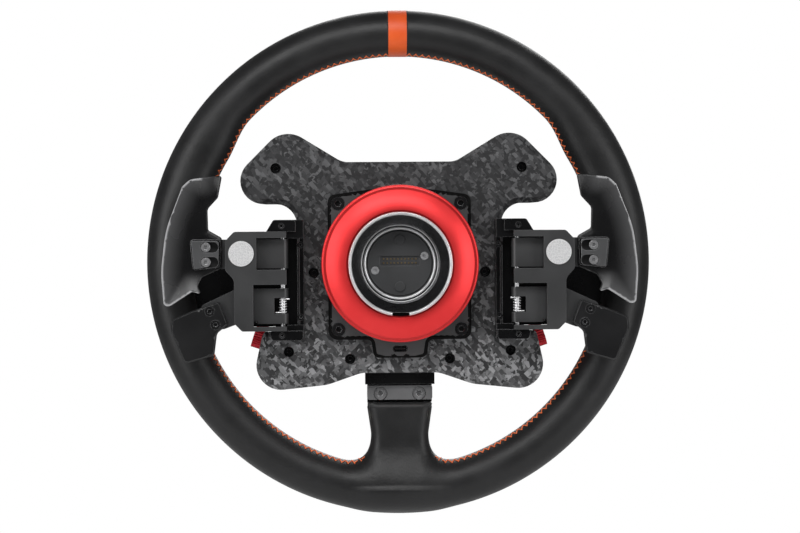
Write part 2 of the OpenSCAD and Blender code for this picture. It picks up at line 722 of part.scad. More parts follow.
rim_core();
rim_foam();
rim_leather();
centre_stripe();
rim_stitching();
hub_frame();
socket_bolts();
spoke_bracket();
spoke_plate();
rear_shell();
shell_screws();
front_housing();
front_panel();
main_board();
encoder_bodies();
shift_lights();
hub_plate();
hub_screws();
hub_posts();
usb_socket();
qr_socket();
qr_sleeve();
connector_block();
connector_pins();
connector_screws();
ribbon_cable();
collar_spring();
qr_collar();
bracket(left);  // left_bracket
bracket(right);  // right_bracket
bracket_screws();
set_screws();
paddle_housing(left);  // left_paddle_housing
paddle_housing(right);  // right_paddle_housing
hinge_pins();
magnets();
clutch_spring(left);  // left_clutch_spring
clutch_spring(right);  // right_clutch_spring
shift_arm(left);  // left_shift_arm
shift_arm(right);  // right_shift_arm
shift_paddle(left);  // left_shift_paddle
shift_paddle(right);  // right_shift_paddle
shift_screws(left);  // left_shift_screws
shift_screws(right);  // right_shift_screws
clutch_arm(left);  // left_clutch_arm
clutch_arm(right);  // right_clutch_arm
clutch_paddle(left);  // left_clutch_paddle
clutch_paddle(right);  // right_clutch_paddle
clutch_screws(left);  // left_clutch_screws
clutch_screws(right);  // right_clutch_screws
thumb_roller(left);  // left_thumb_roller
thumb_roller(right);  // right_thumb_roller
knob(left);  // left_knob
knob(right);  // right_knob
push_button(left, buttons_at[0]);  // left_top_button
push_button(left, buttons_at[1]);  // left_outer_button
push_button(left, buttons_at[2]);  // left_lower_button
push_button(right, buttons_at[0]);  // right_top_button
push_button(right, buttons_at[1]);  // right_outer_button
push_button(right, buttons_at[2]);  // right_lower_button
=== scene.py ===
import math

import bmesh
import bpy
import numpy as np
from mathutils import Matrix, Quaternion, Vector
from mathutils.geometry import delaunay_2d_cdt


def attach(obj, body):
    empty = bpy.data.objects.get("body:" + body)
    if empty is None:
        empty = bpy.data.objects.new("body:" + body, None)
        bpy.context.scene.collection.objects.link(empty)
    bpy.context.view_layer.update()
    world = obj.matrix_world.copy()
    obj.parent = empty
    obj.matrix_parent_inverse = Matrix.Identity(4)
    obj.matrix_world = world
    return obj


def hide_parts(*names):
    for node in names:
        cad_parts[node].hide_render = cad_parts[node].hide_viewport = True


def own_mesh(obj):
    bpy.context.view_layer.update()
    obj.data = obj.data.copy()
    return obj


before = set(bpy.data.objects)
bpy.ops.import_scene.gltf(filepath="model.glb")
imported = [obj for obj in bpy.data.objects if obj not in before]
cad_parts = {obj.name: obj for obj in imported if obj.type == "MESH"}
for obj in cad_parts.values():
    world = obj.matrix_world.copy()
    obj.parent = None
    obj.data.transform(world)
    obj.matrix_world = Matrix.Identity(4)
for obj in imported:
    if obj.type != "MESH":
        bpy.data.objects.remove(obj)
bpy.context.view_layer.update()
MM = 0.001

# ---- Studio ----
# A pale floor well below the wheel, a white sky that lights softly, and large soft lamps above and
# at the sides. The camera stands behind the wheel, a little left of and above its axis.

WHEEL_MIDDLE = Vector((0.0, 52.5, 0.0)) * MM
CAMERA_AT = Vector((-30.0, -1347.5, 29.0)) * MM
LOOK_AT = Vector((0.9, 52.5, -2.9)) * MM
CAMERA_ROLL = math.radians(-0.37)

scene = bpy.context.scene
camera = bpy.data.objects.new("camera", bpy.data.cameras.new("camera"))
scene.collection.objects.link(camera)
camera.location = CAMERA_AT
aim = (LOOK_AT - CAMERA_AT).to_track_quat("-Z", "Y")
camera.rotation_mode = "QUATERNION"
camera.rotation_quaternion = aim @ Quaternion((0, 0, 1), CAMERA_ROLL)
camera.data.sensor_width = 36
camera.data.lens = 95.8
scene.camera = camera
scene.view_settings.view_transform = "Standard"

world = bpy.data.worlds.new("studio")
world.use_nodes = True
scene.world = world
sky = world.node_tree
sky.nodes.clear()
seen = sky.nodes.new("ShaderNodeBackground")
seen.inputs["Color"].default_value = (1, 1, 1, 1)
seen.inputs["Strength"].default_value = 1.0
lighting = sky.nodes.new("ShaderNodeBackground")
lighting.inputs["Color"].default_value = (0.98, 0.98, 1, 1)
lighting.inputs["Strength"].default_value = 0.10
path = sky.nodes.new("ShaderNodeLightPath")
pick = sky.nodes.new("ShaderNodeMixShader")
out = sky.nodes.new("ShaderNodeOutputWorld")
sky.links.new(path.outputs["Is Camera Ray"], pick.inputs["Fac"])
sky.links.new(lighting.outputs[0], pick.inputs[1])
sky.links.new(seen.outputs[0], pick.inputs[2])
sky.links.new(pick.outputs[0], out.inputs["Surface"])


def soft_lamp(name, at, width, height, power):
    """A rectangular lamp, sizes in metres and power in watts, turned to the wheel."""
    lamp = bpy.data.lights.new(name, "AREA")
    lamp.shape = "RECTANGLE"
    lamp.size, lamp.size_y, lamp.energy = width, height, power
    holder = bpy.data.objects.new(name, lamp)
    scene.collection.objects.link(holder)
    holder.location = at
    holder.rotation_mode = "QUATERNION"
    holder.rotation_quaternion = (WHEEL_MIDDLE - Vector(at)).to_track_quat("-Z", "Y")


soft_lamp("top_lamp", (-0.15, -1.15, 1.0), 1.4, 0.5, 14)
soft_lamp("left_lamp", (-1.2, -0.95, 0.2), 0.6, 1.2, 10)
soft_lamp("right_lamp", (1.2, -0.95, 0.1), 0.6, 1.2, 8.5)
soft_lamp("driver_lamp", (0.3, 1.4, 0.7), 1.2, 1.2, 14)

FLOOR_Z = -0.45
floor_mesh = bpy.data.meshes.new("floor")
floor_mesh.from_pydata([(x, y, FLOOR_Z) for x, y in
                        ((-1.1, -1.0), (1.1, -1.0), (1.1, 1.2), (-1.1, 1.2))],
                       [], [(0, 1, 2, 3)])
floor = bpy.data.objects.new("floor", floor_mesh)
scene.collection.objects.link(floor)
floor_paint = bpy.data.materials.new("floor_paint")
floor_paint.use_nodes = True
paint = floor_paint.node_tree.nodes["Principled BSDF"]
paint.inputs["Base Color"].default_value = (0.85, 0.85, 0.85, 1)
paint.inputs["Roughness"].default_value = 0.9
floor_mesh.materials.append(floor_paint)

# ---- Leather rim ----
# A round grip of black leather, glued over foam and sewn along its inner edge. The leather also
# wraps the bottom spoke, and two thumb rests swell inwards above the side spokes.


class Graph:
    """Short hand for building one node tree."""

    def __init__(self, tree):
        self.tree = tree

    def add(self, kind, _label="", **sockets):
        node = self.tree.nodes.new(kind)
        node.label = _label
        for name, value in sockets.items():
            self.feed(node, name.replace("_", " "), value)
        return node

    def feed(self, node, socket, value):
        target = node.inputs[int(socket) if socket.isdigit() else socket]
        if isinstance(value, bpy.types.NodeSocket):
            self.tree.links.new(value, target)
        elif value is not None:
            target.default_value = value

    def maths(self, operation, a, b=None, c=None):
        node = self.tree.nodes.new("ShaderNodeMath")
        node.operation = operation
        for i, value in enumerate((a, b, c)):
            self.feed(node, str(i), value)
        return node.outputs[0]

    def span(self, value, low, high, start=0.0, end=1.0):
        node = self.add("ShaderNodeMapRange", Value=value, From_Min=low, From_Max=high)
        node.inputs["To Min"].default_value = start
        node.inputs["To Max"].default_value = end
        return node.outputs["Result"]

    def mix(self, amount, a, b):
        node = self.tree.nodes.new("ShaderNodeMix")
        node.data_type = "RGBA"
        for i, value in ((0, amount), (6, a), (7, b)):
            self.feed(node, str(i), value)
        return node.outputs[2]


def shared_effect(name, inputs, outputs):
    """An empty shader node group with named sockets: (graph, its inputs, its output node)."""
    tree = bpy.data.node_groups.new(name, "ShaderNodeTree")
    for label, kind, value in inputs:
        socket = tree.interface.new_socket(label, in_out="INPUT", socket_type=kind)
        if value is not None:
            socket.default_value = value
    for label, kind in outputs:
        tree.interface.new_socket(label, in_out="OUTPUT", socket_type=kind)
    graph = Graph(tree)
    given = tree.nodes.new("NodeGroupInput").outputs
    return graph, given, tree.nodes.new("NodeGroupOutput")


def use(graph, tree, **sockets):
    node = graph.tree.nodes.new("ShaderNodeGroup")
    node.node_tree = tree
    for name, value in sockets.items():
        graph.feed(node, name.replace("_", " "), value)
    return node


def finish(name, roughness=0.5, metallic=0.0, coat=0.0, coat_roughness=0.1, sheen=0.0,
           specular=0.5):
    """A material with plain constants: (material, its graph, its shader)."""
    material = bpy.data.materials.new(name)
    material.use_nodes = True
    shader = material.node_tree.nodes["Principled BSDF"]
    for label, value in (("Roughness", roughness), ("Metallic", metallic), ("Coat Weight", coat),
                         ("Coat Roughness", coat_roughness), ("Sheen Weight", sheen),
                         ("Specular IOR Level", specular)):
        shader.inputs[label].default_value = value
    return material, Graph(material.node_tree), shader


def bumped(graph, shader, height, strength, distance, normal=None):
    """Raises a height over a normal, and gives the shader the result."""
    bump = graph.add("ShaderNodeBump", Strength=strength, Distance=distance)
    graph.feed(bump, "Height", height)
    graph.feed(bump, "Normal", normal)
    graph.feed(shader, "Normal", bump.outputs["Normal"])


FLOAT, COLOUR, VECTOR = "NodeSocketFloat", "NodeSocketColor", "NodeSocketVector"

# Grain shared by leather, moulded and anodised surfaces: pebbles with soft valleys between them
graph, given, result = shared_effect(
    "surface grain",
    [("Scale", FLOAT, 900.0), ("Softness", FLOAT, 0.5)],
    [("Height", FLOAT), ("Patches", FLOAT)])
place = graph.add("ShaderNodeTexCoord").outputs["Object"]
pebbles = graph.add("ShaderNodeTexVoronoi", Vector=place, Scale=given["Scale"])
pebbles.feature = "SMOOTH_F1"
graph.feed(pebbles, "Smoothness", given["Softness"])
fine = graph.add("ShaderNodeTexNoise", Vector=place, Detail=3.0)
graph.tree.links.new(graph.maths("MULTIPLY", given["Scale"], 2.2), fine.inputs["Scale"])
broad = graph.add("ShaderNodeTexNoise", Vector=place, Scale=38.0, Detail=4.0)
height = graph.maths("ADD", graph.maths("MULTIPLY", pebbles.outputs["Distance"], -0.8),
                     graph.maths("MULTIPLY", fine.outputs["Fac"], 0.35))
graph.feed(result, "Height", height)
graph.feed(result, "Patches", broad.outputs["Fac"])
SURFACE_GRAIN = graph.tree

RING_R, GRIP_R, RIM_Y = 150.0, 15.0, 52.5
SPOKE_TOP, SPOKE_Y = -92.0, 8.5
REST_ANGLE, REST_SPREAD, REST_DEPTH = 28.0, 13.0, 4.5


def smooth_step(t):
    t = np.clip(t, 0.0, 1.0)
    return t * t * (3 - 2 * t)


def rest_swell(x, z):
    """How far the thumb rests push the inner edge inwards, by angle."""
    angle = np.degrees(np.arctan2(z, np.abs(x)))
    return REST_DEPTH * smooth_step(1.25 - np.abs(angle - REST_ANGLE) / REST_SPREAD)


def leather_distance(p):
    """Signed distance to the leather's surface, in mm: grip and spoke cover blended together."""
    x, y, z = p[:, 0], p[:, 1] - RIM_Y, p[:, 2]
    swell = rest_swell(x, z)
    across = np.hypot(x, z) - (RING_R - swell / 2)
    grip = np.hypot(across * GRIP_R / (GRIP_R + swell / 2), y) - GRIP_R
    half_width = np.interp(z, (-150, -112, -98, SPOKE_TOP), (18.6, 18.9, 20.9, 21.8))
    corner, end_round, blend = 7.5, 3.0, 21.0
    qx = np.abs(x) - (half_width - corner)
    qy = np.abs(y) - (SPOKE_Y - corner + 0.3)
    qz = np.abs(z + 121.0) - (29.0 - end_round)
    side = np.hypot(np.maximum(qx, 0), np.maximum(qy, 0)) + np.minimum(np.maximum(qx, qy), 0)
    rounded_end = np.hypot(np.maximum(side - corner, 0), np.maximum(qz, 0)) - end_round
    spoke = np.where(qz > 0, rounded_end, np.maximum(side - corner, qz - end_round))
    h = np.clip(0.5 + 0.5 * (grip - spoke) / blend, 0, 1)
    return grip * (1 - h) + spoke * h - blend * h * (1 - h)


def on_surface(points, distance, rounds=6, step=0.05):
    """Moves points, in mm, onto the zero of a distance function by Newton steps."""
    for _ in range(rounds):
        value = distance(points)
        slope = np.stack([(distance(points + d) - value) / step
                          for d in np.eye(3) * step], axis=1)
        size = np.maximum((slope**2).sum(axis=1), 0.05)
        move = slope * (value / size)[:, None]
        length = np.linalg.norm(move, axis=1, keepdims=True)
        points = points - move * np.minimum(1, 1.5 / np.maximum(length, 1e-9))
    return points


def make_piece(name, points, faces, material, smooth_angle=40.0):
    """A mesh object from points in mm, with sharp edges only where faces meet steeply."""
    mesh = bpy.data.meshes.new(name)
    mesh.from_pydata((np.asarray(points, float) * MM).tolist(), [], faces)
    mesh.validate()
    work = bmesh.new()
    work.from_mesh(mesh)
    bmesh.ops.recalc_face_normals(work, faces=work.faces)
    work.to_mesh(mesh)
    work.free()
    mesh.shade_smooth()
    mesh.set_sharp_from_angle(angle=math.radians(smooth_angle))
    mesh.materials.append(material)
    piece = bpy.data.objects.new(name, mesh)
    scene.collection.objects.link(piece)
    return piece


def plain_copy(piece, name):
    """The piece with its modifiers applied, as a new object with none."""
    depsgraph = bpy.context.evaluated_depsgraph_get()
    mesh = bpy.data.meshes.new_from_object(piece.evaluated_get(depsgraph))
    mesh.name = name
    copy = bpy.data.objects.new(name, mesh)
    scene.collection.objects.link(copy)
    bpy.data.objects.remove(piece)
    return copy


leather, graph, shader = finish("black_leather", roughness=0.42, sheen=0.06, specular=0.38)
grain = use(graph, SURFACE_GRAIN, Scale=620.0, Softness=0.35)
tone = graph.mix(graph.span(grain.outputs["Patches"], 0.35, 0.7), (0.0075, 0.0075, 0.0078, 1),
                 (0.0125, 0.0125, 0.013, 1))
graph.feed(shader, "Base Color", tone)
graph.feed(shader, "Roughness", graph.span(grain.outputs["Patches"], 0.3, 0.7, 0.40, 0.50))
creases = graph.add("ShaderNodeBump", Strength=0.22, Distance=0.004)
graph.feed(creases, "Height", grain.outputs["Patches"])
bumped(graph, shader, grain.outputs["Height"], 0.35, 0.00012, creases.outputs["Normal"])

around, section, draft_r = 300, 48, GRIP_R - 0.4
angles = np.linspace(0, 2 * np.pi, around, endpoint=False)
turns = np.linspace(0, 2 * np.pi, section, endpoint=False)
ring = [((RING_R + draft_r * math.cos(t)) * math.cos(a), RIM_Y + draft_r * math.sin(t),
         (RING_R + draft_r * math.cos(t)) * math.sin(a)) for a in angles for t in turns]
quads = [(i * section + j, i * section + (j + 1) % section,
          (i + 1) % around * section + (j + 1) % section, (i + 1) % around * section + j)
         for i in range(around) for j in range(section)]
draft = make_piece("grip_draft", ring, quads, leather)
work = bmesh.new()
work.from_mesh(draft.data)
cover = bmesh.ops.create_cube(work, size=1.0)["verts"]
for v in cover:
    v.co = Vector((v.co.x * 41.0, RIM_Y + v.co.y * 16.0, -120.5 + v.co.z * 56.0)) * MM
work.to_mesh(draft.data)
work.free()
remesh = draft.modifiers.new("even_skin", "REMESH")
remesh.mode = "VOXEL"
remesh.voxel_size = 1.35 * MM
rim_skin = plain_copy(draft, "rim_leather_skin")
count = len(rim_skin.data.vertices)
flat = np.empty(count * 3)
rim_skin.data.vertices.foreach_get("co", flat)
skin_points = on_surface(flat.reshape(-1, 3) / MM, leather_distance)
rim_skin.data.vertices.foreach_set("co", (skin_points * MM).ravel())
rim_skin.data.update()
rim_skin.data.shade_smooth()
rim_skin.data.materials.clear()
rim_skin.data.materials.append(leather)
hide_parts("rim_leather")
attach(rim_skin, "wheel")

# ---- Centre stripe ----
# A band of orange leather let into the top of the grip, 12 mm wide, between two pressed grooves.
# It is glued and shows the same grain as the black leather.

STRIPE_W, GROOVE_W = 12.0, 0.75
orange, graph, shader = finish("orange_leather", roughness=0.46, sheen=0.1)
grain = use(graph, SURFACE_GRAIN, Scale=620.0, Softness=0.35)
graph.feed(shader, "Base Color", graph.mix(
    graph.span(grain.outputs["Patches"], 0.3, 0.7), (0.66, 0.072, 0.006, 1),
    (0.80, 0.115, 0.012, 1)))
bumped(graph, shader, grain.outputs["Height"], 0.4, 0.00012)

groove, graph, shader = finish("pressed_groove", roughness=0.7)
shader.inputs["Base Color"].default_value = (0.006, 0.004, 0.004, 1)


def wrapped_band(name, low, high, lift, material, edge=0.35):
    """A closed band round the top of the grip between two X values, standing lift mm proud."""
    stations = [(low, -0.5), (low, lift * 0.4), (low + edge, lift), (high - edge, lift),
                (high, lift * 0.4), (high, -0.5)]
    points, faces = [], []
    rounds, n = 72, len(stations)
    for i in range(rounds):
        t = 2 * math.pi * i / rounds
        for x, proud in stations:
            r = RING_R + (GRIP_R + proud) * math.cos(t)
            points.append((x, RIM_Y + (GRIP_R + proud) * math.sin(t),
                           math.sqrt(max(r * r - x * x, 0))))
    for i in range(rounds):
        for j in range(n):
            a, b = i * n + j, i * n + (j + 1) % n
            c, d = (i + 1) % rounds * n + (j + 1) % n, (i + 1) % rounds * n + j
            faces.append((a, b, c, d))
    return make_piece(name, points, faces, material, 50)


stripe = wrapped_band("centre_stripe_band", -STRIPE_W / 2, STRIPE_W / 2, 0.18, orange)
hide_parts("centre_stripe")
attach(stripe, "wheel")
for side, start in (("left", -STRIPE_W / 2 - GROOVE_W), ("right", STRIPE_W / 2)):
    line = wrapped_band(f"{side}_stripe_groove", start, start + GROOVE_W, 0.03, groove, 0.1)
    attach(line, "wheel")

# ---- Rim stitching ----
# Orange thread draws the two edges of the leather together along the inner edge of the grip.
# Each stitch slants across the seam, pulled into the leather at both ends.

thread, graph, shader = finish("orange_thread", roughness=0.75, sheen=0.3)
place = graph.add("ShaderNodeTexCoord").outputs["Object"]
strands = graph.add("ShaderNodeTexNoise", Vector=place, Scale=2600.0, Detail=2.0)
graph.feed(shader, "Base Color", graph.mix(
    graph.span(strands.outputs["Fac"], 0.35, 0.65), (0.62, 0.085, 0.010, 1),
    (0.95, 0.20, 0.030, 1)))
bumped(graph, shader, strands.outputs["Fac"], 0.5, 0.0001)

STITCH_STEP, STITCH_LENGTH, STITCH_R = 2.1, 5.4, 0.40
SEAM_TILT, SEAM_SHIFT, SEAM_DROP = math.radians(18), 4.6, 0.7
SEAM_SPANS = ((17.0, 87.2), (92.8, 163.0), (197.0, 259.5), (280.5, 343.0))


def inner_edge(angle):
    """Radius of the leather's inner edge at an angle in radians, found along the radius."""
    reach = np.linspace(118.0, 139.0, 400)
    line = np.stack([reach * math.cos(angle), np.full(400, RIM_Y), reach * math.sin(angle)], axis=1)
    return float(reach[np.argmax(leather_distance(line) < 0)])


def seam_path():
    """The seam along the grip's inner edge, as separate runs of points in metres."""
    runs = []
    for start, end in SEAM_SPANS:
        steps = int((end - start) * math.radians(1) * 135 / STITCH_STEP)
        run = []
        for a in np.radians(np.linspace(start, end, steps + 1)):
            r = inner_edge(a) + SEAM_DROP
            spot = on_surface(np.array([[r * math.cos(a), RIM_Y - SEAM_SHIFT, r * math.sin(a)]]),
                              leather_distance)[0]
            run.append(tuple(spot * MM))
        runs.append(run)
    return runs


seam_mesh = bpy.data.meshes.new("seam")
points, edges = [], []
for run in seam_path():
    edges += [(len(points) + i, len(points) + i + 1) for i in range(len(run) - 1)]
    points += run
seam_mesh.from_pydata(points, edges, [])
seam = bpy.data.objects.new("seam", seam_mesh)
scene.collection.objects.link(seam)


def geometry_tree(name, inputs):
    """An empty geometry node tree with a Geometry input and output: (tree, input, output)."""
    tree = bpy.data.node_groups.new(name, "GeometryNodeTree")
    tree.interface.new_socket("Geometry", in_out="INPUT", socket_type="NodeSocketGeometry")
    for label, kind, value in inputs:
        tree.interface.new_socket(label, in_out="INPUT", socket_type=kind).default_value = value
    tree.interface.new_socket("Geometry", in_out="OUTPUT", socket_type="NodeSocketGeometry")
    return tree, tree.nodes.new("NodeGroupInput"), tree.nodes.new("NodeGroupOutput")


tree, given, result = geometry_tree("slanted stitches", [
    ("Stitch Length", FLOAT, 0.004), ("Thread Radius", FLOAT, 0.0004), ("Slant", FLOAT, 0.6),
    ("Tilt", FLOAT, 0.0)])
g = Graph(tree)
to_curve = g.add("GeometryNodeMeshToCurve", Mesh=given.outputs["Geometry"])
spots = g.add("GeometryNodeCurveToPoints", Curve=to_curve.outputs[0])
spots.mode = "EVALUATED"
strand = g.add("GeometryNodeCurveQuadraticBezier", Resolution=6)
for label, along, out in (("Start", -0.5, -0.7), ("Middle", 0.0, 1.4), ("End", 0.5, -0.7)):
    spot = g.add("ShaderNodeCombineXYZ")
    g.feed(spot, "X", g.maths("MULTIPLY", given.outputs["Thread Radius"], out))
    g.feed(spot, "Y", g.maths("MULTIPLY", given.outputs["Stitch Length"], along))
    g.feed(strand, label, spot.outputs[0])
round_thread = g.add("GeometryNodeCurvePrimitiveCircle", Resolution=7)
g.feed(round_thread, "Radius", given.outputs["Thread Radius"])
thread_mesh = g.add("GeometryNodeCurveToMesh", Curve=strand.outputs[0],
                    Profile_Curve=round_thread.outputs[0])
thread_mesh.inputs["Fill Caps"].default_value = True
position = g.add("GeometryNodeInputPosition").outputs[0]
apart = g.add("ShaderNodeSeparateXYZ", Vector=position)
heading = g.maths("ARCTAN2", apart.outputs["Z"], apart.outputs["X"])
turn_in = g.add("ShaderNodeCombineXYZ")
g.feed(turn_in, "Y", g.maths("MULTIPLY", g.maths("ADD", heading, math.pi), -1.0))
instances = g.add("GeometryNodeInstanceOnPoints", Points=spots.outputs["Points"],
                  Instance=thread_mesh.outputs[0])
g.tree.links.new(turn_in.outputs[0], instances.inputs["Rotation"])
index = g.add("GeometryNodeInputIndex").outputs[0]
odd = g.maths("SUBTRACT", g.maths("MULTIPLY", g.maths("MODULO", index, 2.0), 2.0), 1.0)
lean = g.add("ShaderNodeCombineXYZ")
g.feed(lean, "X", g.maths("MULTIPLY", odd, given.outputs["Slant"]))
tip = g.add("ShaderNodeCombineXYZ")
g.feed(tip, "Z", g.maths("MULTIPLY", given.outputs["Tilt"], -1.0))
tipped = g.add("GeometryNodeRotateInstances", Instances=instances.outputs[0])
g.tree.links.new(tip.outputs[0], tipped.inputs["Rotation"])
slanted = g.add("GeometryNodeRotateInstances", Instances=tipped.outputs[0])
g.tree.links.new(lean.outputs[0], slanted.inputs["Rotation"])
real = g.add("GeometryNodeRealizeInstances", Geometry=slanted.outputs[0])
dressed = g.add("GeometryNodeSetMaterial", Geometry=real.outputs[0])
dressed.inputs["Material"].default_value = thread
tree.links.new(dressed.outputs[0], result.inputs[0])


def with_geometry_nodes(piece, tree, name, **values):
    """Runs a tree on a piece with named inputs, and gives the result as a plain mesh object."""
    modifier = piece.modifiers.new(tree.name, "NODES")
    modifier.node_group = tree
    sockets = {s.name: s.identifier for s in tree.interface.items_tree if s.in_out == "INPUT"}
    for label, value in values.items():
        modifier[sockets[label.replace("_", " ")]] = value
    return plain_copy(piece, name)


stitches = with_geometry_nodes(seam, tree, "rim_stitches", Stitch_Length=STITCH_LENGTH * MM,
                               Thread_Radius=STITCH_R * MM, Slant=0.5, Tilt=SEAM_TILT)
stitches.data.shade_smooth()
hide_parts("rim_stitching")
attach(stitches, "wheel")

# ---- Rear shell ----
# The back cover, pressed from chopped carbon flakes in resin: a satin face inside a polished
# bevel. Eight screws sit deep in round holes, and the hub plate closes the middle.


def rounded(corners, steps=10):
    """A closed outline whose corners (x, z, radius) are rounded with arcs."""
    line = []
    for i, (x, z, r) in enumerate(corners):
        p = np.array((x, z), float)
        if r == 0:
            line.append(p)
            continue
        u = np.array(corners[i - 1][:2], float) - p
        v = np.array(corners[(i + 1) % len(corners)][:2], float) - p
        u, v = u / np.linalg.norm(u), v / np.linalg.norm(v)
        half = math.acos(float(u @ v)) / 2
        middle = p + (u + v) / np.linalg.norm(u + v) * r / math.sin(half)
        first, last = p + u * r / math.tan(half) - middle, p + v * r / math.tan(half) - middle
        begin = math.atan2(first[1], first[0])
        sweep = (math.atan2(last[1], last[0]) - begin + math.pi) % (2 * math.pi) - math.pi
        for k in range(steps + 1):
            a = begin + sweep * k / steps
            line.append(middle + r * np.array((math.cos(a), math.sin(a))))
    return np.array(line)


def both_sides(corners):
    """A right half outline, from the top down, joined to its mirror image."""
    return corners + [(-x, z, r) for x, z, r in reversed(corners)]


def evenly(line, spacing):
    """The same closed line with no stretch longer than spacing."""
    points = []
    for a, b in zip(line, np.roll(line, -1, axis=0)):
        n = max(1, int(math.ceil(np.linalg.norm(b - a) / spacing)))
        points += [a + (b - a) * k / n for k in range(n)]
    keep = [points[0]]
    for p in points[1:]:
        if np.linalg.norm(p - keep[-1]) > 0.05:
            keep.append(p)
    return np.array(keep)


def from_run(line, points):
    """Distance from each point to an open run of points."""
    best = np.full(len(points), 1e9)
    for a, b in zip(line[:-1], line[1:]):
        d = b - a
        t = np.clip(((points - a) @ d) / max(d @ d, 1e-12), 0, 1)
        best = np.minimum(best, np.linalg.norm(points - a - t[:, None] * d, axis=1))
    return best


def from_line(line, points):
    """Distance from each point to a closed line."""
    return from_run(np.vstack([line, line[:1]]), points)


def within(line, points):
    """Whether each point lies inside a closed line."""
    inside = np.zeros(len(points), bool)
    for a, b in zip(line, np.roll(line, -1, axis=0)):
        crosses = (a[1] > points[:, 1]) != (b[1] > points[:, 1])
        if crosses.any():
            t = (points[:, 1] - a[1]) / ((b[1] - a[1]) or 1e-12)
            inside ^= crosses & (points[:, 0] < a[0] + t * (b[0] - a[0]))
    return inside


def circle_line(x, z, r, n=32):
    return np.array([(x + r * math.cos(2 * math.pi * k / n), z + r * math.sin(2 * math.pi * k / n))
                     for k in range(n)])


def relief(name, outline, holes, back_y, front_y, material, spacing=3.0, rings=(0.3, 0.7, 1.3),
           smooth_angle=35, creases=()):
    """A closed body over an XZ outline with through holes. back_y and front_y give Y in mm for
    points and their distance from the outline, on the side of -Y and of +Y. Creases are closed
    lines within the outline that the mesh has to follow."""
    loops = [evenly(outline, spacing)] + [np.array(h) for h in holes]
    dense = [evenly(outline, 1.0)] + loops[1:]
    fixed, edges, spans = [], [], []
    for loop in loops + [np.array(line) for line in creases]:
        spans.append((len(fixed), len(loop)))
        edges += [(len(fixed) + i, len(fixed) + (i + 1) % len(loop)) for i in range(len(loop))]
        fixed += list(loop)
    extra = []
    for loop in loops:
        ahead = np.roll(loop, -1, axis=0) - np.roll(loop, 1, axis=0)
        normal = np.stack([ahead[:, 1], -ahead[:, 0]], axis=1)
        normal /= np.linalg.norm(normal, axis=1, keepdims=True)
        for depth in rings:
            for sign in (1, -1):
                extra.append(loop + normal * depth * sign)
    low, high = loops[0].min(axis=0), loops[0].max(axis=0)
    columns, rows = np.meshgrid(np.arange(low[0], high[0], spacing),
                                np.arange(low[1], high[1], spacing * 0.9))
    columns = columns + (np.arange(len(columns)) % 2 * spacing / 2)[:, None]
    grid = np.stack([columns.ravel(), rows.ravel()], axis=1)

    def clear(points, margin):
        ok = within(loops[0], points)
        for line in dense + [np.array(c) for c in creases]:
            ok &= from_line(line, points) > min(margin, 0.5 * spacing)
        for line in loops[1:]:
            ok &= ~within(line, points)
        return points[ok]

    inner = []
    for k, ring_points in enumerate(extra):
        inner.append(clear(ring_points, rings[k // 2 % len(rings)] * 0.93))
    inner.append(clear(grid, rings[-1] + spacing * 0.4))
    free = np.concatenate(inner)
    every = [Vector(p) for p in fixed] + [Vector(p) for p in free]
    verts, _, faces, origin, _, _ = delaunay_2d_cdt(every, edges, [], 0, 1e-5, True)
    flat_points = np.array([tuple(v) for v in verts])
    where = {}
    for new, olds in enumerate(origin):
        for old in olds:
            where[old] = new
    middles = np.array([flat_points[list(f)].mean(axis=0) for f in faces])
    kept = within(loops[0], middles)
    for line in loops[1:]:
        kept &= ~within(line, middles)
    faces = [f for f, k in zip(faces, kept) if k]
    depth = from_line(dense[0], flat_points)
    on_loop = [where[i] for i in range(spans[0][1])]
    depth[on_loop] = 0.0
    n = len(flat_points)
    y_back = back_y(flat_points, depth) * np.ones(n)
    y_front = front_y(flat_points, depth) * np.ones(n)
    points = np.concatenate([np.stack([flat_points[:, 0], y_back, flat_points[:, 1]], axis=1),
                             np.stack([flat_points[:, 0], y_front, flat_points[:, 1]], axis=1)])
    solid = [tuple(f) for f in faces] + [tuple(i + n for i in reversed(f)) for f in faces]
    for first, size in spans[:len(loops)]:
        ids = [where[first + i] for i in range(size)]
        solid += [(ids[i], ids[(i + 1) % size], ids[(i + 1) % size] + n, ids[i] + n)
                  for i in range(size)]
    used = sorted({i for f in solid for i in f})
    rename = {old: new for new, old in enumerate(used)}
    return make_piece(name, points[used], [tuple(rename[i] for i in f) for f in solid],
                      material, smooth_angle)


def bevelled(y, width, depth, towards=1):
    """A face at y whose rim slopes away over width, by depth, towards +Y or -Y."""
    return lambda p, d: y + towards * depth * (1 - np.clip(d / width, 0, 1))


def eased(y, radius, towards=1):
    """A face at y with a rounded edge."""
    def height(p, d):
        t = np.clip(1 - d / radius, 0, 1)
        return y + towards * radius * (1 - np.sqrt(np.maximum(1 - t * t, 0)))
    return height


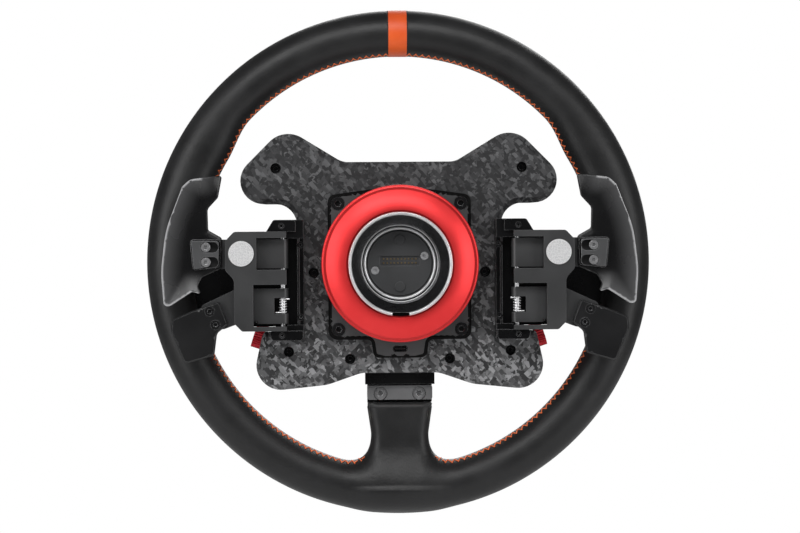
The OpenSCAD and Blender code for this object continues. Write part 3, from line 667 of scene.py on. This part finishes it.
# Chopped carbon: flakes in four layers, each laid its own way, with resin between them
graph, given, result = shared_effect(
    "chopped carbon", [("Flake Scale", FLOAT, 120.0), ("Contrast", FLOAT, 1.0)],
    [("Color", COLOUR), ("Height", FLOAT), ("Gloss", FLOAT)])
place = graph.add("ShaderNodeTexCoord").outputs["Object"]
warp = graph.add("ShaderNodeTexNoise", Vector=place, Scale=45.0, Detail=2.0)
bent = graph.add("ShaderNodeVectorMath")
bent.operation = "MULTIPLY_ADD"
graph.feed(bent, "0", warp.outputs["Color"])
bent.inputs[1].default_value = (0.0016, 0.0016, 0.0016)
graph.feed(bent, "2", place)
shade = None
for turn, stretch, offset in ((0.2, 2.0, 0.0), (1.5, 1.9, 3.1), (2.35, 2.1, 7.7), (0.85, 1.8, 5.2)):
    laid = graph.add("ShaderNodeMapping", Vector=bent.outputs[0])
    laid.inputs["Rotation"].default_value = (0.1, turn, 0.0)
    laid.vector_type = "TEXTURE"
    laid.inputs["Scale"].default_value = (1.0, 1.0, 1 / stretch)
    laid.inputs["Location"].default_value = (offset, offset * 0.3, 0.0)
    flakes = graph.add("ShaderNodeTexVoronoi", Vector=laid.outputs[0], Scale=given["Flake Scale"],
                       Randomness=1.0)
    flakes.distance = "CHEBYCHEV"
    split = graph.add("ShaderNodeSeparateColor", Color=flakes.outputs["Color"])
    fibre = graph.add("ShaderNodeTexNoise", Vector=laid.outputs[0], Scale=260.0, Detail=2.0)
    tone = graph.maths("ADD", split.outputs["Red"],
                       graph.maths("MULTIPLY", fibre.outputs["Fac"], 0.25))
    on_top = graph.maths("GREATER_THAN", split.outputs["Green"], 0.52)
    if shade is None:
        shade = tone
    else:
        pick = graph.add("ShaderNodeMix")
        for i, value in ((0, on_top), (2, shade), (3, tone)):
            graph.feed(pick, str(i), value)
        shade = pick.outputs[0]
bright = graph.maths("POWER", graph.maths("MULTIPLY", shade, 0.9), 2.6)
shine = graph.maths("MULTIPLY", bright, given["Contrast"])
graph.feed(result, "Color", graph.mix(graph.span(shine, 0.0, 0.9), (0.012, 0.012, 0.013, 1),
                                      (0.27, 0.272, 0.278, 1)))
graph.feed(result, "Height", shade)
graph.feed(result, "Gloss", shade)
CHOPPED_CARBON = graph.tree

carbon, graph, shader = finish("forged_carbon", roughness=0.42, coat=0.25, coat_roughness=0.25)
place = graph.add("ShaderNodeTexCoord").outputs["Object"]
apart = graph.add("ShaderNodeSeparateXYZ", Vector=place)
flakes = use(graph, CHOPPED_CARBON, Flake_Scale=235.0)
# Painted glints: the flakes' contrast is raised towards the bottom of the shell.
graph.feed(flakes, "Contrast", graph.span(apart.outputs["Z"], -0.05, 0.035, 1.0, 0.36))
graph.feed(shader, "Base Color", flakes.outputs["Color"])
graph.feed(shader, "Roughness", graph.span(flakes.outputs["Gloss"], 0.0, 1.0, 0.5, 0.32))
bumped(graph, shader, flakes.outputs["Height"], 0.12, 0.0002)

SHELL_HALF = [(36.5, 65.4, 14), (74, 88.3, 17), (123.5, 38.5, 15), (66, 38.5, 14), (66, -44, 6),
              (88.5, -44, 4), (97.4, -84, 16), (47, -78.8, 30), (25, -71.2, 20)]
SHELL_SCREWS = [(79.5, 61.5), (55.3, -6), (71.8, -57), (32.3, -62)]
SHELL_Y, SEAM_Y, BEVEL = 28.0, 46.0, 3.4
shell_line = rounded(both_sides(SHELL_HALF), 12)
screw_holes = [circle_line(s * x, z, 3.4, 24) for x, z in SHELL_SCREWS for s in (-1, 1)]
shell = relief("rear_shell_cover", shell_line,
               screw_holes + [circle_line(0, 0, 31, 64)],
               bevelled(SHELL_Y, BEVEL, 2.6), lambda p, d: SEAM_Y, carbon, spacing=5.0,
               rings=(BEVEL,), smooth_angle=22)
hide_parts("rear_shell")
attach(shell, "wheel")

# ---- Core, foam and spoke mounting ----
# The rim's flat core is aluminium, anodised black, inside moulded foam. A grey plate and two bolts
# clamp its bottom spoke to a bracket under the shell. Machined edges are broken by a small radius.

# Besides rounding the shading normal at edges, this effect gives an edge mask with which the
# materials paint their edges paler, as a painted highlight.
graph, given, result = shared_effect(
    "edge rounding and highlight", [("Radius", FLOAT, 0.0004)], [("Normal", VECTOR), ("Edge", FLOAT)])
soft = graph.add("ShaderNodeBevel")
soft.samples = 4
graph.feed(soft, "Radius", given["Radius"])
true_normal = graph.add("ShaderNodeNewGeometry").outputs["Normal"]
dot = graph.add("ShaderNodeVectorMath")
dot.operation = "DOT_PRODUCT"
graph.feed(dot, "0", soft.outputs["Normal"])
graph.feed(dot, "1", true_normal)
graph.feed(result, "Normal", soft.outputs["Normal"])
graph.feed(result, "Edge", graph.span(dot.outputs["Value"], 0.99, 0.82))
EDGE_ROUNDING_AND_HIGHLIGHT = graph.tree


def grained(name, colour, pale, roughness, metallic=0.0, grain_scale=1500.0, grain_depth=0.00004,
            radius=0.0004, coat=0.0, spread=0.12, specular=0.5, highlight_attribute=None):
    """A worked surface: its colour varies a little, its edges are painted paler as a highlight and
    its grain is fine.
    """
    material, graph, shader = finish(name, roughness, metallic, coat, specular=specular)
    edges = use(graph, EDGE_ROUNDING_AND_HIGHLIGHT, Radius=radius)
    grain = use(graph, SURFACE_GRAIN, Scale=grain_scale, Softness=0.6)
    patches = graph.span(grain.outputs["Patches"], 0.3, 0.7)
    darker = tuple(c * (1 - spread) for c in colour) + (1,)
    lighter = tuple(c * (1 + spread) for c in colour) + (1,)
    body = graph.mix(patches, darker, lighter)
    # An optional mesh attribute paints a highlight onto the surface, towards the pale colour.
    if highlight_attribute:
        painted_highlight = graph.add("ShaderNodeAttribute")
        painted_highlight.attribute_name = highlight_attribute
        body = graph.mix(painted_highlight.outputs["Fac"], body, tuple(pale) + (1,))
    # The edges are painted towards the pale colour as a highlight.
    graph.feed(shader, "Base Color", graph.mix(
        graph.maths("MULTIPLY", edges.outputs["Edge"], 0.6), body, tuple(pale) + (1,)))
    graph.feed(shader, "Roughness", graph.span(
        grain.outputs["Patches"], 0.3, 0.7, roughness - 0.05, roughness + 0.05))
    bumped(graph, shader, grain.outputs["Height"], 0.5, grain_depth, edges.outputs["Normal"])
    return material


def dress(material, *names):
    """Puts a material in every slot of the named pieces."""
    for name in names:
        for holder in bpy.data.objects[name].material_slots:
            holder.material = material


def pair(*names):
    return [f"{side}_{name}" for name in names for side in ("left", "right")]


black_anodised = grained("black_anodised", (0.0032, 0.0032, 0.0035), (0.24, 0.24, 0.245), 0.27,
                         specular=0.22)
tab_grey = grained("tab_grey", (0.16, 0.16, 0.163), (0.35, 0.35, 0.355), 0.36, 0.4)
screw_grey = grained("screw_grey", (0.27, 0.27, 0.275), (0.8, 0.8, 0.8), 0.25, 0.5)
grip_foam = grained("grip_foam", (0.06, 0.06, 0.052), (0.08, 0.08, 0.07), 0.85)
dress(black_anodised, "rim_core", "spoke_bracket")
dress(tab_grey, "spoke_plate")
dress(screw_grey, "socket_bolts")
dress(grip_foam, "rim_foam")

# ---- Frame, board and connectors ----
# Milled aluminium posts and a plate stand inside the shell and carry the circuit board. A ribbon
# runs from it to the grey moulded connector, which has gilt pins and two bright screws.

mill_aluminium = grained("mill_aluminium", (0.55, 0.56, 0.57), (0.75, 0.75, 0.76), 0.35, 1.0)
board_green = grained("board_green", (0.008, 0.07, 0.03), (0.1, 0.2, 0.1), 0.35, 0.0, 1200.0)
black_plastic = grained("black_plastic", (0.013, 0.013, 0.014), (0.05, 0.05, 0.05), 0.55, 0.0,
                        1900.0, 0.00007)
ribbon_grey = grained("ribbon_grey", (0.22, 0.22, 0.23), (0.3, 0.3, 0.3), 0.6)
connector_grey = grained("connector_grey", (0.050, 0.051, 0.053), (0.16, 0.16, 0.165), 0.5, 0.0,
                         1700.0, 0.00005)
gold = grained("gold_contact", (0.30, 0.22, 0.12), (0.4, 0.3, 0.2), 0.35, 1.0, radius=0.0001)
bright_steel = grained("bright_steel", (0.62, 0.62, 0.63), (0.85, 0.85, 0.86), 0.25, 0.6,
                       radius=0.0002)
black_oxide = grained("black_oxide", (0.02, 0.02, 0.021), (0.55, 0.55, 0.56), 0.25, 0.6)
dress(mill_aluminium, "hub_frame", "hub_posts")
dress(board_green, "main_board")
dress(black_plastic, "encoder_bodies")
dress(ribbon_grey, "ribbon_cable")
dress(connector_grey, "connector_block")
dress(gold, "connector_pins")
dress(bright_steel, "connector_screws")
dress(black_oxide, "usb_socket", "shell_screws", "hub_screws")

# ---- Driver's side ----
# A moulded housing and panel close the wheel towards the driver, held by the long shell screws.
# They carry ten clear lights, six sprung buttons and two ribbed knobs.

panel_plastic = grained("panel_plastic", (0.018, 0.019, 0.021), (0.06, 0.06, 0.06), 0.5, 0.0,
                        1700.0, 0.00006)
button_grey = grained("button_grey", (0.42, 0.42, 0.44), (0.6, 0.6, 0.6), 0.4, 0.0, 1500.0,
                      0.00003)
lens_white = grained("lens_white", (0.65, 0.68, 0.72), (0.8, 0.8, 0.82), 0.3, 0.0, 900.0,
                     0.00002, coat=0.5)
dress(black_plastic, "front_housing", *pair("knob"))
dress(panel_plastic, "front_panel")
dress(lens_white, "shift_lights")
dress(button_grey, *pair("top_button", "outer_button", "lower_button"))

# ---- Paddle modules and thumb rollers ----
# Each black bracket is screwed to the shell. A steel pin through its ears hinges the arms behind a
# grey anodised housing plate. The knurled rollers are anodised red and turn on tilted axles.

grey_anodised = grained("grey_anodised", (0.042, 0.0425, 0.0435), (0.17, 0.17, 0.175), 0.4, 0.2)
red_anodised = grained("red_anodised", (0.66, 0.006, 0.022), (0.85, 0.16, 0.18), 0.3, 0.35,
                       1500.0, 0.00003)
dress(black_anodised, *pair("bracket"))
dress(grey_anodised, *pair("paddle_housing", "shift_arm", "clutch_arm"))
dress(black_oxide, "bracket_screws", "set_screws", *pair("clutch_screws"))
dress(screw_grey, *pair("shift_screws"))
dress(bright_steel, "hinge_pins")
dress(red_anodised, *pair("thumb_roller"))

# ---- Quick-release collar, socket and sleeve ----
# The collar is turned from aluminium and anodised red, the socket and the sleeve are polished
# steel. All three are lathe work about the wheel's axis; the socket has a key notch at the bottom.
# The front faces of socket and sleeve are painted bright steel and their bores dark steel, as
# painted light and shade, and the notch's walls are painted black as shade.


def lathe(name, profile, material, smooth_angle=35, around=192):
    """Turns a closed profile of (radius, y) in mm round the wheel's axis."""
    n = len(profile)
    points = [(r * math.cos(2 * math.pi * k / around), y, r * math.sin(2 * math.pi * k / around))
              for k in range(around) for r, y in profile]
    faces = [(k * n + j, k * n + (j + 1) % n, (k + 1) % around * n + (j + 1) % n,
              (k + 1) % around * n + j) for k in range(around) for j in range(n)]
    return make_piece(name, points, faces, material, smooth_angle)


def softened(corners, steps=4):
    """A closed profile of (radius, y, rounding) as plain points."""
    return [tuple(p) for p in rounded([(r, y, ease) for r, y, ease in corners], steps)]


red_turned, graph, shader = finish("red_turned", 0.40, 0.6)
edges = use(graph, EDGE_ROUNDING_AND_HIGHLIGHT, Radius=0.0003)
grain = use(graph, SURFACE_GRAIN, Scale=1700.0, Softness=0.6)
graph.feed(shader, "Base Color", graph.mix(
    graph.span(grain.outputs["Patches"], 0.3, 0.7), (0.78, 0.030, 0.032, 1),
    (0.86, 0.042, 0.044, 1)))
bumped(graph, shader, grain.outputs["Height"], 0.35, 0.00002, edges.outputs["Normal"])

face = [(34.3 + 12.7 * k / 10, -3 + 4.2 * (k / 10) ** 1.7, 0) for k in range(1, 10)]
collar_profile = softened([(33.05, -1.7, 0.3), (34.2, -3.0, 0.5)] + face + [
    (47.2, 1.25, 1.0), (48.8, 3.2, 1.0), (48.6, 4.4, 0.3), (47.7, 4.7, 0.3), (47.7, 5.5, 0.3),
    (49.9, 5.9, 0.8), (50.2, 7.0, 0.4), (50.2, 9.4, 0.8), (49.3, 11.0, 0.6), (46, 11, 0.2),
    (46, 6, 0.2), (36, 6, 0.2), (36, 11, 0.2), (33.05, 11, 0.2)])
collar = lathe("release_collar_turned", collar_profile, red_turned)
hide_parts("qr_collar")
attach(collar, "release_collar")


def turned_metal(name, colour, roughness, marks, depth, radius=0.0003):
    """Metal turned on a lathe about the wheel's axis, with fine rings in its surface."""
    material, graph, shader = finish(name, roughness, 1.0)
    shader.inputs["Base Color"].default_value = tuple(colour) + (1,)
    edges = use(graph, EDGE_ROUNDING_AND_HIGHLIGHT, Radius=radius)
    place = graph.add("ShaderNodeTexCoord").outputs["Object"]
    apart = graph.add("ShaderNodeSeparateXYZ", Vector=place)
    out = graph.maths("SQRT", graph.maths("ADD",
                      graph.maths("MULTIPLY", apart.outputs["X"], apart.outputs["X"]),
                      graph.maths("MULTIPLY", apart.outputs["Z"], apart.outputs["Z"])))
    rings = graph.add("ShaderNodeTexNoise", Scale=1.0, Detail=2.0)
    rings.noise_dimensions = "1D"
    graph.feed(rings, "W", graph.maths("MULTIPLY", graph.maths("ADD", out, apart.outputs["Y"]),
                                       marks))
    graph.feed(shader, "Roughness", graph.span(rings.outputs["Fac"], 0.3, 0.7, roughness * 0.75,
                                               roughness * 1.3))
    bumped(graph, shader, rings.outputs["Fac"], 0.4, depth, edges.outputs["Normal"])
    return material


# A dark copy of polished steel, painted on the bores as shade; the bright ring steel paints light
# on their front faces.
shaded_bore_steel = turned_metal("shaded_bore_steel", (0.22, 0.22, 0.225), 0.22, 900.0, 0.000004)
ring_steel = grained("ring_steel", (0.80, 0.80, 0.81), (0.92, 0.92, 0.92), 0.22, 0.55, 1500.0,
                     0.000004, radius=0.0003)
# A black used to paint shade: on the walls of the socket's key notch and in the gap round the hub
# plate.
painted_shade_black = grained("painted_shade_black", (0.004, 0.004, 0.004), (0.02, 0.02, 0.02), 0.5,
                      specular=0.05)


def paint_faces(piece, material, chosen):
    """Gives a second material to the faces whose centre and normal, in mm, are chosen."""
    piece.data.materials.append(material)
    for face in piece.data.polygons:
        x, y, z = face.center / MM
        if chosen(x, y, z, face.normal):
            face.material_index = len(piece.data.materials) - 1


socket_profile = softened([
    (33.0, -7.0, 0.8), (32.6, -8.0, 0.5), (31.5, -8.0, 0.6), (30.9, -7.0, 0.4), (25.3, -0.2, 0.2),
    (25.2, 14.0, 0.2), (24.9, 14.4, 0.1), (24.9, 26, 0), (8, 26, 0), (8, 28, 0), (30, 28, 0),
    (30, 20, 0), (33, 20, 0.2)])
socket = lathe("socket_turned", socket_profile, shaded_bore_steel, 30)
key = bpy.data.objects.new("key_cutter", bpy.data.meshes.new("key_cutter"))
cutter = bmesh.new()
bmesh.ops.create_cube(cutter, size=1.0)
for v in cutter.verts:
    v.co = Vector((v.co.x * 10.8, v.co.y * 12 - 7.5, v.co.z * 4.4 - 32.8)) * MM
cutter.to_mesh(key.data)
cutter.free()
scene.collection.objects.link(key)
cut = socket.modifiers.new("key_notch", "BOOLEAN")
cut.object, cut.operation, cut.solver = key, "DIFFERENCE", "EXACT"
socket = plain_copy(socket, "socket_turned_notched")
bpy.data.objects.remove(key)
socket.data.set_sharp_from_angle(angle=math.radians(30))
# Painted light and shade: the front face ring is painted bright steel and the rest of the socket,
# its bore included, dark steel.
paint_faces(socket, ring_steel, lambda x, y, z, n: y < -6.9)
# The key notch's walls are painted black as the shade inside the notch.
paint_faces(socket, painted_shade_black, lambda x, y, z, n: abs(x) < 5.5 and z < -30.5 and (
    (abs(n.x) > 0.98 and y > -7.9) or (n.y < -0.9 and -3 < y < -1)))
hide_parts("qr_socket")
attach(socket, "wheel")
sleeve = lathe("sleeve_turned", softened([
    (20.62, 25.9, 0), (20.62, 18.2, 0.2), (21.7, 15.5, 0.5), (22.4, 15.0, 0.4), (23.25, 15.2, 0.3),
    (23.3, 17.4, 0), (24.2, 17.4, 0), (24.25, 15.2, 0.1), (24.85, 15.1, 0.1), (24.87, 25.9, 0)]),
    shaded_bore_steel, 30)
# Painted light and shade: the sleeve's front face is painted bright steel and its bore and inner
# chamfer dark steel.
paint_faces(sleeve, ring_steel, lambda x, y, z, n: y < 15.6 and math.hypot(x, z) > 21.6)
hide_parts("qr_sleeve")
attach(sleeve, "wheel")

# ---- Magnets ----
# Round plated magnets pressed into the paddle housings. Their faces are finely dimpled.

magnet_face, graph, shader = finish("dimpled_plate", 0.34, 0.45)
place = graph.add("ShaderNodeTexCoord").outputs["Object"]
dimples = graph.add("ShaderNodeTexVoronoi", Vector=place, Scale=1050.0, Randomness=0.55)
graph.feed(shader, "Base Color", graph.mix(
    graph.span(dimples.outputs["Distance"], 0.05, 0.6), (0.62, 0.62, 0.63, 1),
    (0.90, 0.90, 0.90, 1)))
edges = use(graph, EDGE_ROUNDING_AND_HIGHLIGHT, Radius=0.0005)
bumped(graph, shader, dimples.outputs["Distance"], 0.6, 0.0001, edges.outputs["Normal"])
dress(magnet_face, "magnets")

# ---- Clutch springs ----
# Torsion springs of bright wire wound round the hinge pins, five turns each. One leg rests on
# the clutch arm and the other on the bracket.


def swept_wire(name, path, radius, material, sides=10, axis=(0.0, 0.0, 1.0)):
    """A closed round wire along a path of points in mm, coiled about the axis."""
    path = np.array(path, float)
    along = np.gradient(path, axis=0)
    along /= np.linalg.norm(along, axis=1, keepdims=True)
    aside = np.cross(along, axis)
    aside /= np.linalg.norm(aside, axis=1, keepdims=True)
    up = np.cross(aside, along)
    points, faces = [], []
    for p, u, v in zip(path, aside, up):
        points += [p + radius * (math.cos(2 * math.pi * k / sides) * u
                                 + math.sin(2 * math.pi * k / sides) * v) for k in range(sides)]
    last = len(path) - 1
    for i in range(last):
        for k in range(sides):
            a, b = i * sides + k, i * sides + (k + 1) % sides
            faces.append((a, b, b + sides, a + sides))
    faces += [tuple(range(sides))[::-1], tuple(last * sides + k for k in range(sides))]
    return make_piece(name, points, faces, material, 50)


for side, sign in (("left", -1), ("right", 1)):
    turns, pin_x, pin_y, coil_r, low, high = 5, 74.8, 13.0, 2.1, -30.8, -22.2
    coil = [(pin_x + coil_r * math.cos(a), pin_y + coil_r * math.sin(a), low + (high - low) * t)
            for t in np.linspace(0, 1, turns * 22)
            for a in [-math.pi / 2 - 2 * math.pi * turns * t]]
    route = ([(pin_x + 4.6, pin_y - coil_r, low)] + coil + [(pin_x - 4.2, pin_y - coil_r, high)])
    spring = swept_wire(f"{side}_torsion_spring", [(x * sign, y, z) for x, y, z in route], 0.44,
                        ring_steel)
    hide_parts(f"{side}_clutch_spring")
    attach(spring, "wheel")

# ---- Release spring ----
# A coil of steel wire between the hub plate and the recess in the collar. It holds the collar out
# and in the real wheel shortens as the collar is pulled back; here it is drawn at rest, fixed to
# the wheel.

TURNS, COIL_R, WIRE_R, PLATE_Y, RECESS_Y, TRAVEL = 3, 41, 0.8, 20, 6, 7
route = [(COIL_R * math.cos(a), RECESS_Y + WIRE_R + (PLATE_Y - RECESS_Y - 2 * WIRE_R) * t,
          COIL_R * math.sin(a))
         for t in np.linspace(0, 1, TURNS * 48 + 1) for a in [2 * math.pi * TURNS * t]]
release_spring = swept_wire("release_spring", route, WIRE_R, ring_steel, axis=(0.0, 1.0, 0.0))
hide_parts("collar_spring")
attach(release_spring, "wheel")
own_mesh(release_spring)

# ---- Hub plate ----
# A machined cover over the quick-release shaft, screwed down at its four corners. Its face is
# satin and its tongue carries the data port. A 2 mm band round its edge, chamfer included, is
# painted black as the shadow in the gap round the plate.

hub_black = grained("hub_black", (0.10, 0.101, 0.103), (0.16, 0.16, 0.165), 0.34, 0.5,
                    radius=0.0002)
hub_line = rounded(both_sides([(19, 47.5, 8), (46, 43.8, 5), (46, -49.1, 6), (18.6, -49.1, 3),
                               (16.9, -60.9, 4)]), 8)
hub_holes = [circle_line(s * 39.5, z, 4.5, 32) for z in (38.5, -42.5) for s in (-1, 1)]
port_hole = rounded([(4.9, -52.8, 2), (4.9, -57.2, 2), (-4.9, -57.2, 2), (-4.9, -52.8, 2)], 6)
hub_cover = relief("hub_cover", hub_line, hub_holes + [circle_line(0, 0, 30.05, 96), port_hole],
                   bevelled(20.0, 1.2, 1.1), lambda p, d: 28.0, hub_black, spacing=4.0,
                   rings=(1.2, 2.2), smooth_angle=25)
# A 2 mm band round the plate's edge, chamfer included, is painted black as the shadow in the gap
# round the plate.
paint_faces(hub_cover, painted_shade_black,
            lambda x, y, z, n: from_line(hub_line, np.array([(x, z)]))[0] < 2.0)
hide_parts("hub_plate")
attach(hub_cover, "wheel")

# ---- Shift paddles ----
# Cast aluminium blades, anodised gloss black. The middle is scooped, the outer lip rises towards
# the fingers, and a raised pad carries two slotted screw seats. The lip is painted paler towards
# its outer edge, with a bright line along the edge, as a painted highlight.

paddle_gloss = grained("paddle_gloss", (0.0045, 0.0045, 0.0048), (0.50, 0.50, 0.51), 0.26, 0.0,
                       1900.0, 0.00002, radius=0.0005, spread=0.05, highlight_attribute="painted_lip_highlight",
                       specular=0.35)
pad_grey = grained("pad_grey", (0.085, 0.086, 0.088), (0.45, 0.45, 0.46), 0.34, 0.35,
                   1700.0, 0.00003, radius=0.0005)
SHIFT_LINE = [(112.8, 56.8, 1.5), (133, 54.3, 8), (137.8, 49.8, 5), (148.6, 22, 60),
              (151.8, -4, 60), (150.2, -25.6, 2.5), (146.4, -26.2, 4), (132, -16.8, 3),
              (126.2, -18.8, 1), (128.8, -13.5, 3), (125.8, -7.6, 3), (113.4, -2.4, 3),
              (113.1, 17, 3), (121.9, 22, 2), (122.2, 35.4, 4), (115.5, 42.6, 4)]
LIP_LINE = np.array([(126, 55.2), (133, 54.3), (138.2, 49.4), (146, 30), (149.6, 14), (150.9, 0),
                     (151.2, -10), (150, -25), (147, -26.1), (133, -17.4), (127, -18.6)], float)
PAD_LINE = [(114.6, -1.4, 2), (114.3, 15.8, 2), (133.4, 16.1, 2), (131.6, -3.4, 2)]
PAD_TOP = [(115.4, -0.8, 1.5), (115.1, 15, 1.5), (132.5, 15.3, 1.5), (130.8, -2.6, 1.5)]
INNER_LINE = np.array([(112.9, 56.7), (115.5, 42.6), (122.2, 35.4), (121.9, 22), (113.1, 17)],
                      float)
SHIFT_SCREWS = [(123.4, 11.2), (123.4, 1.7)]
LIP_W, INNER_W, MIDDLE_Y, PAD_Y, EDGE_R = 13.5, 5.0, 6.9, 4.05, 0.7


def slot_hole(x, z, r, reach, n=12):
    """Outline of a slot from x - reach to x."""
    arc = [math.pi / 2 + math.pi * k / n for k in range(n + 1)]
    left_end = [(x - reach + r * math.cos(t), z + r * math.sin(t)) for t in arc]
    return np.array(left_end + [(x - r * math.cos(t), z - r * math.sin(t)) for t in arc])


def mirrored(line, side):
    """Points (x, z) as given on the right, or mirrored and turned round on the left."""
    line = np.array(line, float)
    return line if side > 0 else (line * (-1, 1))[::-1]


for side, sign in (("left", -1), ("right", 1)):
    pad_outer = mirrored(rounded(PAD_LINE, 5), sign)
    pad_inner = mirrored(rounded(PAD_TOP, 5), sign)

    def scooped(p, d, sign=sign, pad_outer=pad_outer, pad_inner=pad_inner):
        q = p * (sign, 1)
        lip = np.clip(1 - from_run(LIP_LINE, q) / LIP_W, 0, 1)
        inner = np.clip(1 - from_run(INNER_LINE, q) / INNER_W, 0, 1)
        y = MIDDLE_Y - 3.85 * lip**1.35 + 1.2 * inner * (1 - lip)
        on_pad = within(pad_outer, p) | (from_line(pad_outer, p) < 0.02)
        to_pad = np.where(on_pad, np.clip(from_line(pad_outer, p) / 0.8, 0, 1), 0)
        y = y * (1 - to_pad) + PAD_Y * to_pad
        edge = np.clip(1 - d / EDGE_R, 0, 1)
        return y + EDGE_R * (1 - np.sqrt(np.maximum(1 - edge * edge, 0)))

    blade = relief(f"{side}_shift_blade", mirrored(rounded(SHIFT_LINE, 8), sign),
                   [mirrored(slot_hole(x, z, 3.4, 4.8), sign) for x, z in SHIFT_SCREWS],
                   scooped, eased(9.5, 0.5, -1), paddle_gloss, spacing=2.2,
                   rings=(0.12, 0.35, 0.7, 1.6), smooth_angle=38, creases=[pad_outer, pad_inner])
    # Painted highlight on the lip: the blade is painted paler towards the lip's outer edge, with a
    # bright line along the edge itself.
    spots = np.array([tuple(v.co) for v in blade.data.vertices]) / MM
    away = from_run(LIP_LINE, spots[:, [0, 2]] * (sign, 1))
    painted_lip_highlight = 0.13 * np.clip(1 - away / LIP_W, 0, 1)**1.3 + 0.6 * (away < 0.8)
    blade.data.attributes.new("painted_lip_highlight", "FLOAT", "POINT").data.foreach_set(
        "value", np.where(spots[:, 1] < 8, painted_lip_highlight, 0))
    paint_faces(blade, pad_grey, lambda x, y, z, n: y < 7 and n.y < -0.3
                and within(pad_outer, np.array([(x, z)]))[0])
    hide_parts(f"{side}_shift_paddle")
    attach(blade, f"{side}_shifter")

# ---- Clutch paddles ----
# Flat machined blades below the shift paddles, anodised flat black, with a chamfered edge. Two
# small screws hold each blade to its arm.

blade_black = grained("blade_black", (0.0055, 0.0055, 0.006), (0.20, 0.20, 0.205), 0.34, 0.0,
                      1900.0, 0.00003, radius=0.0004, spread=0.08)
CLUTCH_LINE = [(115.2, -23.4, 1.5), (133, -29.4, 6), (145, -34.6, 2.5), (146.1, -41.5, 8),
               (137.4, -62.8, 3), (118.6, -57.6, 2.5), (116.8, -43.8, 4), (109.7, -37.8, 1.5)]
CLUTCH_SCREWS = [(121.3, -29.5), (117.6, -38.1)]
for side, sign in (("left", -1), ("right", 1)):
    blade = relief(f"{side}_clutch_blade", mirrored(rounded(CLUTCH_LINE, 7), sign),
                   [mirrored(circle_line(x, z, 3.25, 24), sign) for x, z in CLUTCH_SCREWS],
                   bevelled(5.5, 0.8, 0.7), eased(9.5, 0.5, -1), blade_black, spacing=3.0,
                   rings=(0.4, 0.8), smooth_angle=30)
    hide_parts(f"{side}_clutch_paddle")
    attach(blade, f"{side}_clutch")
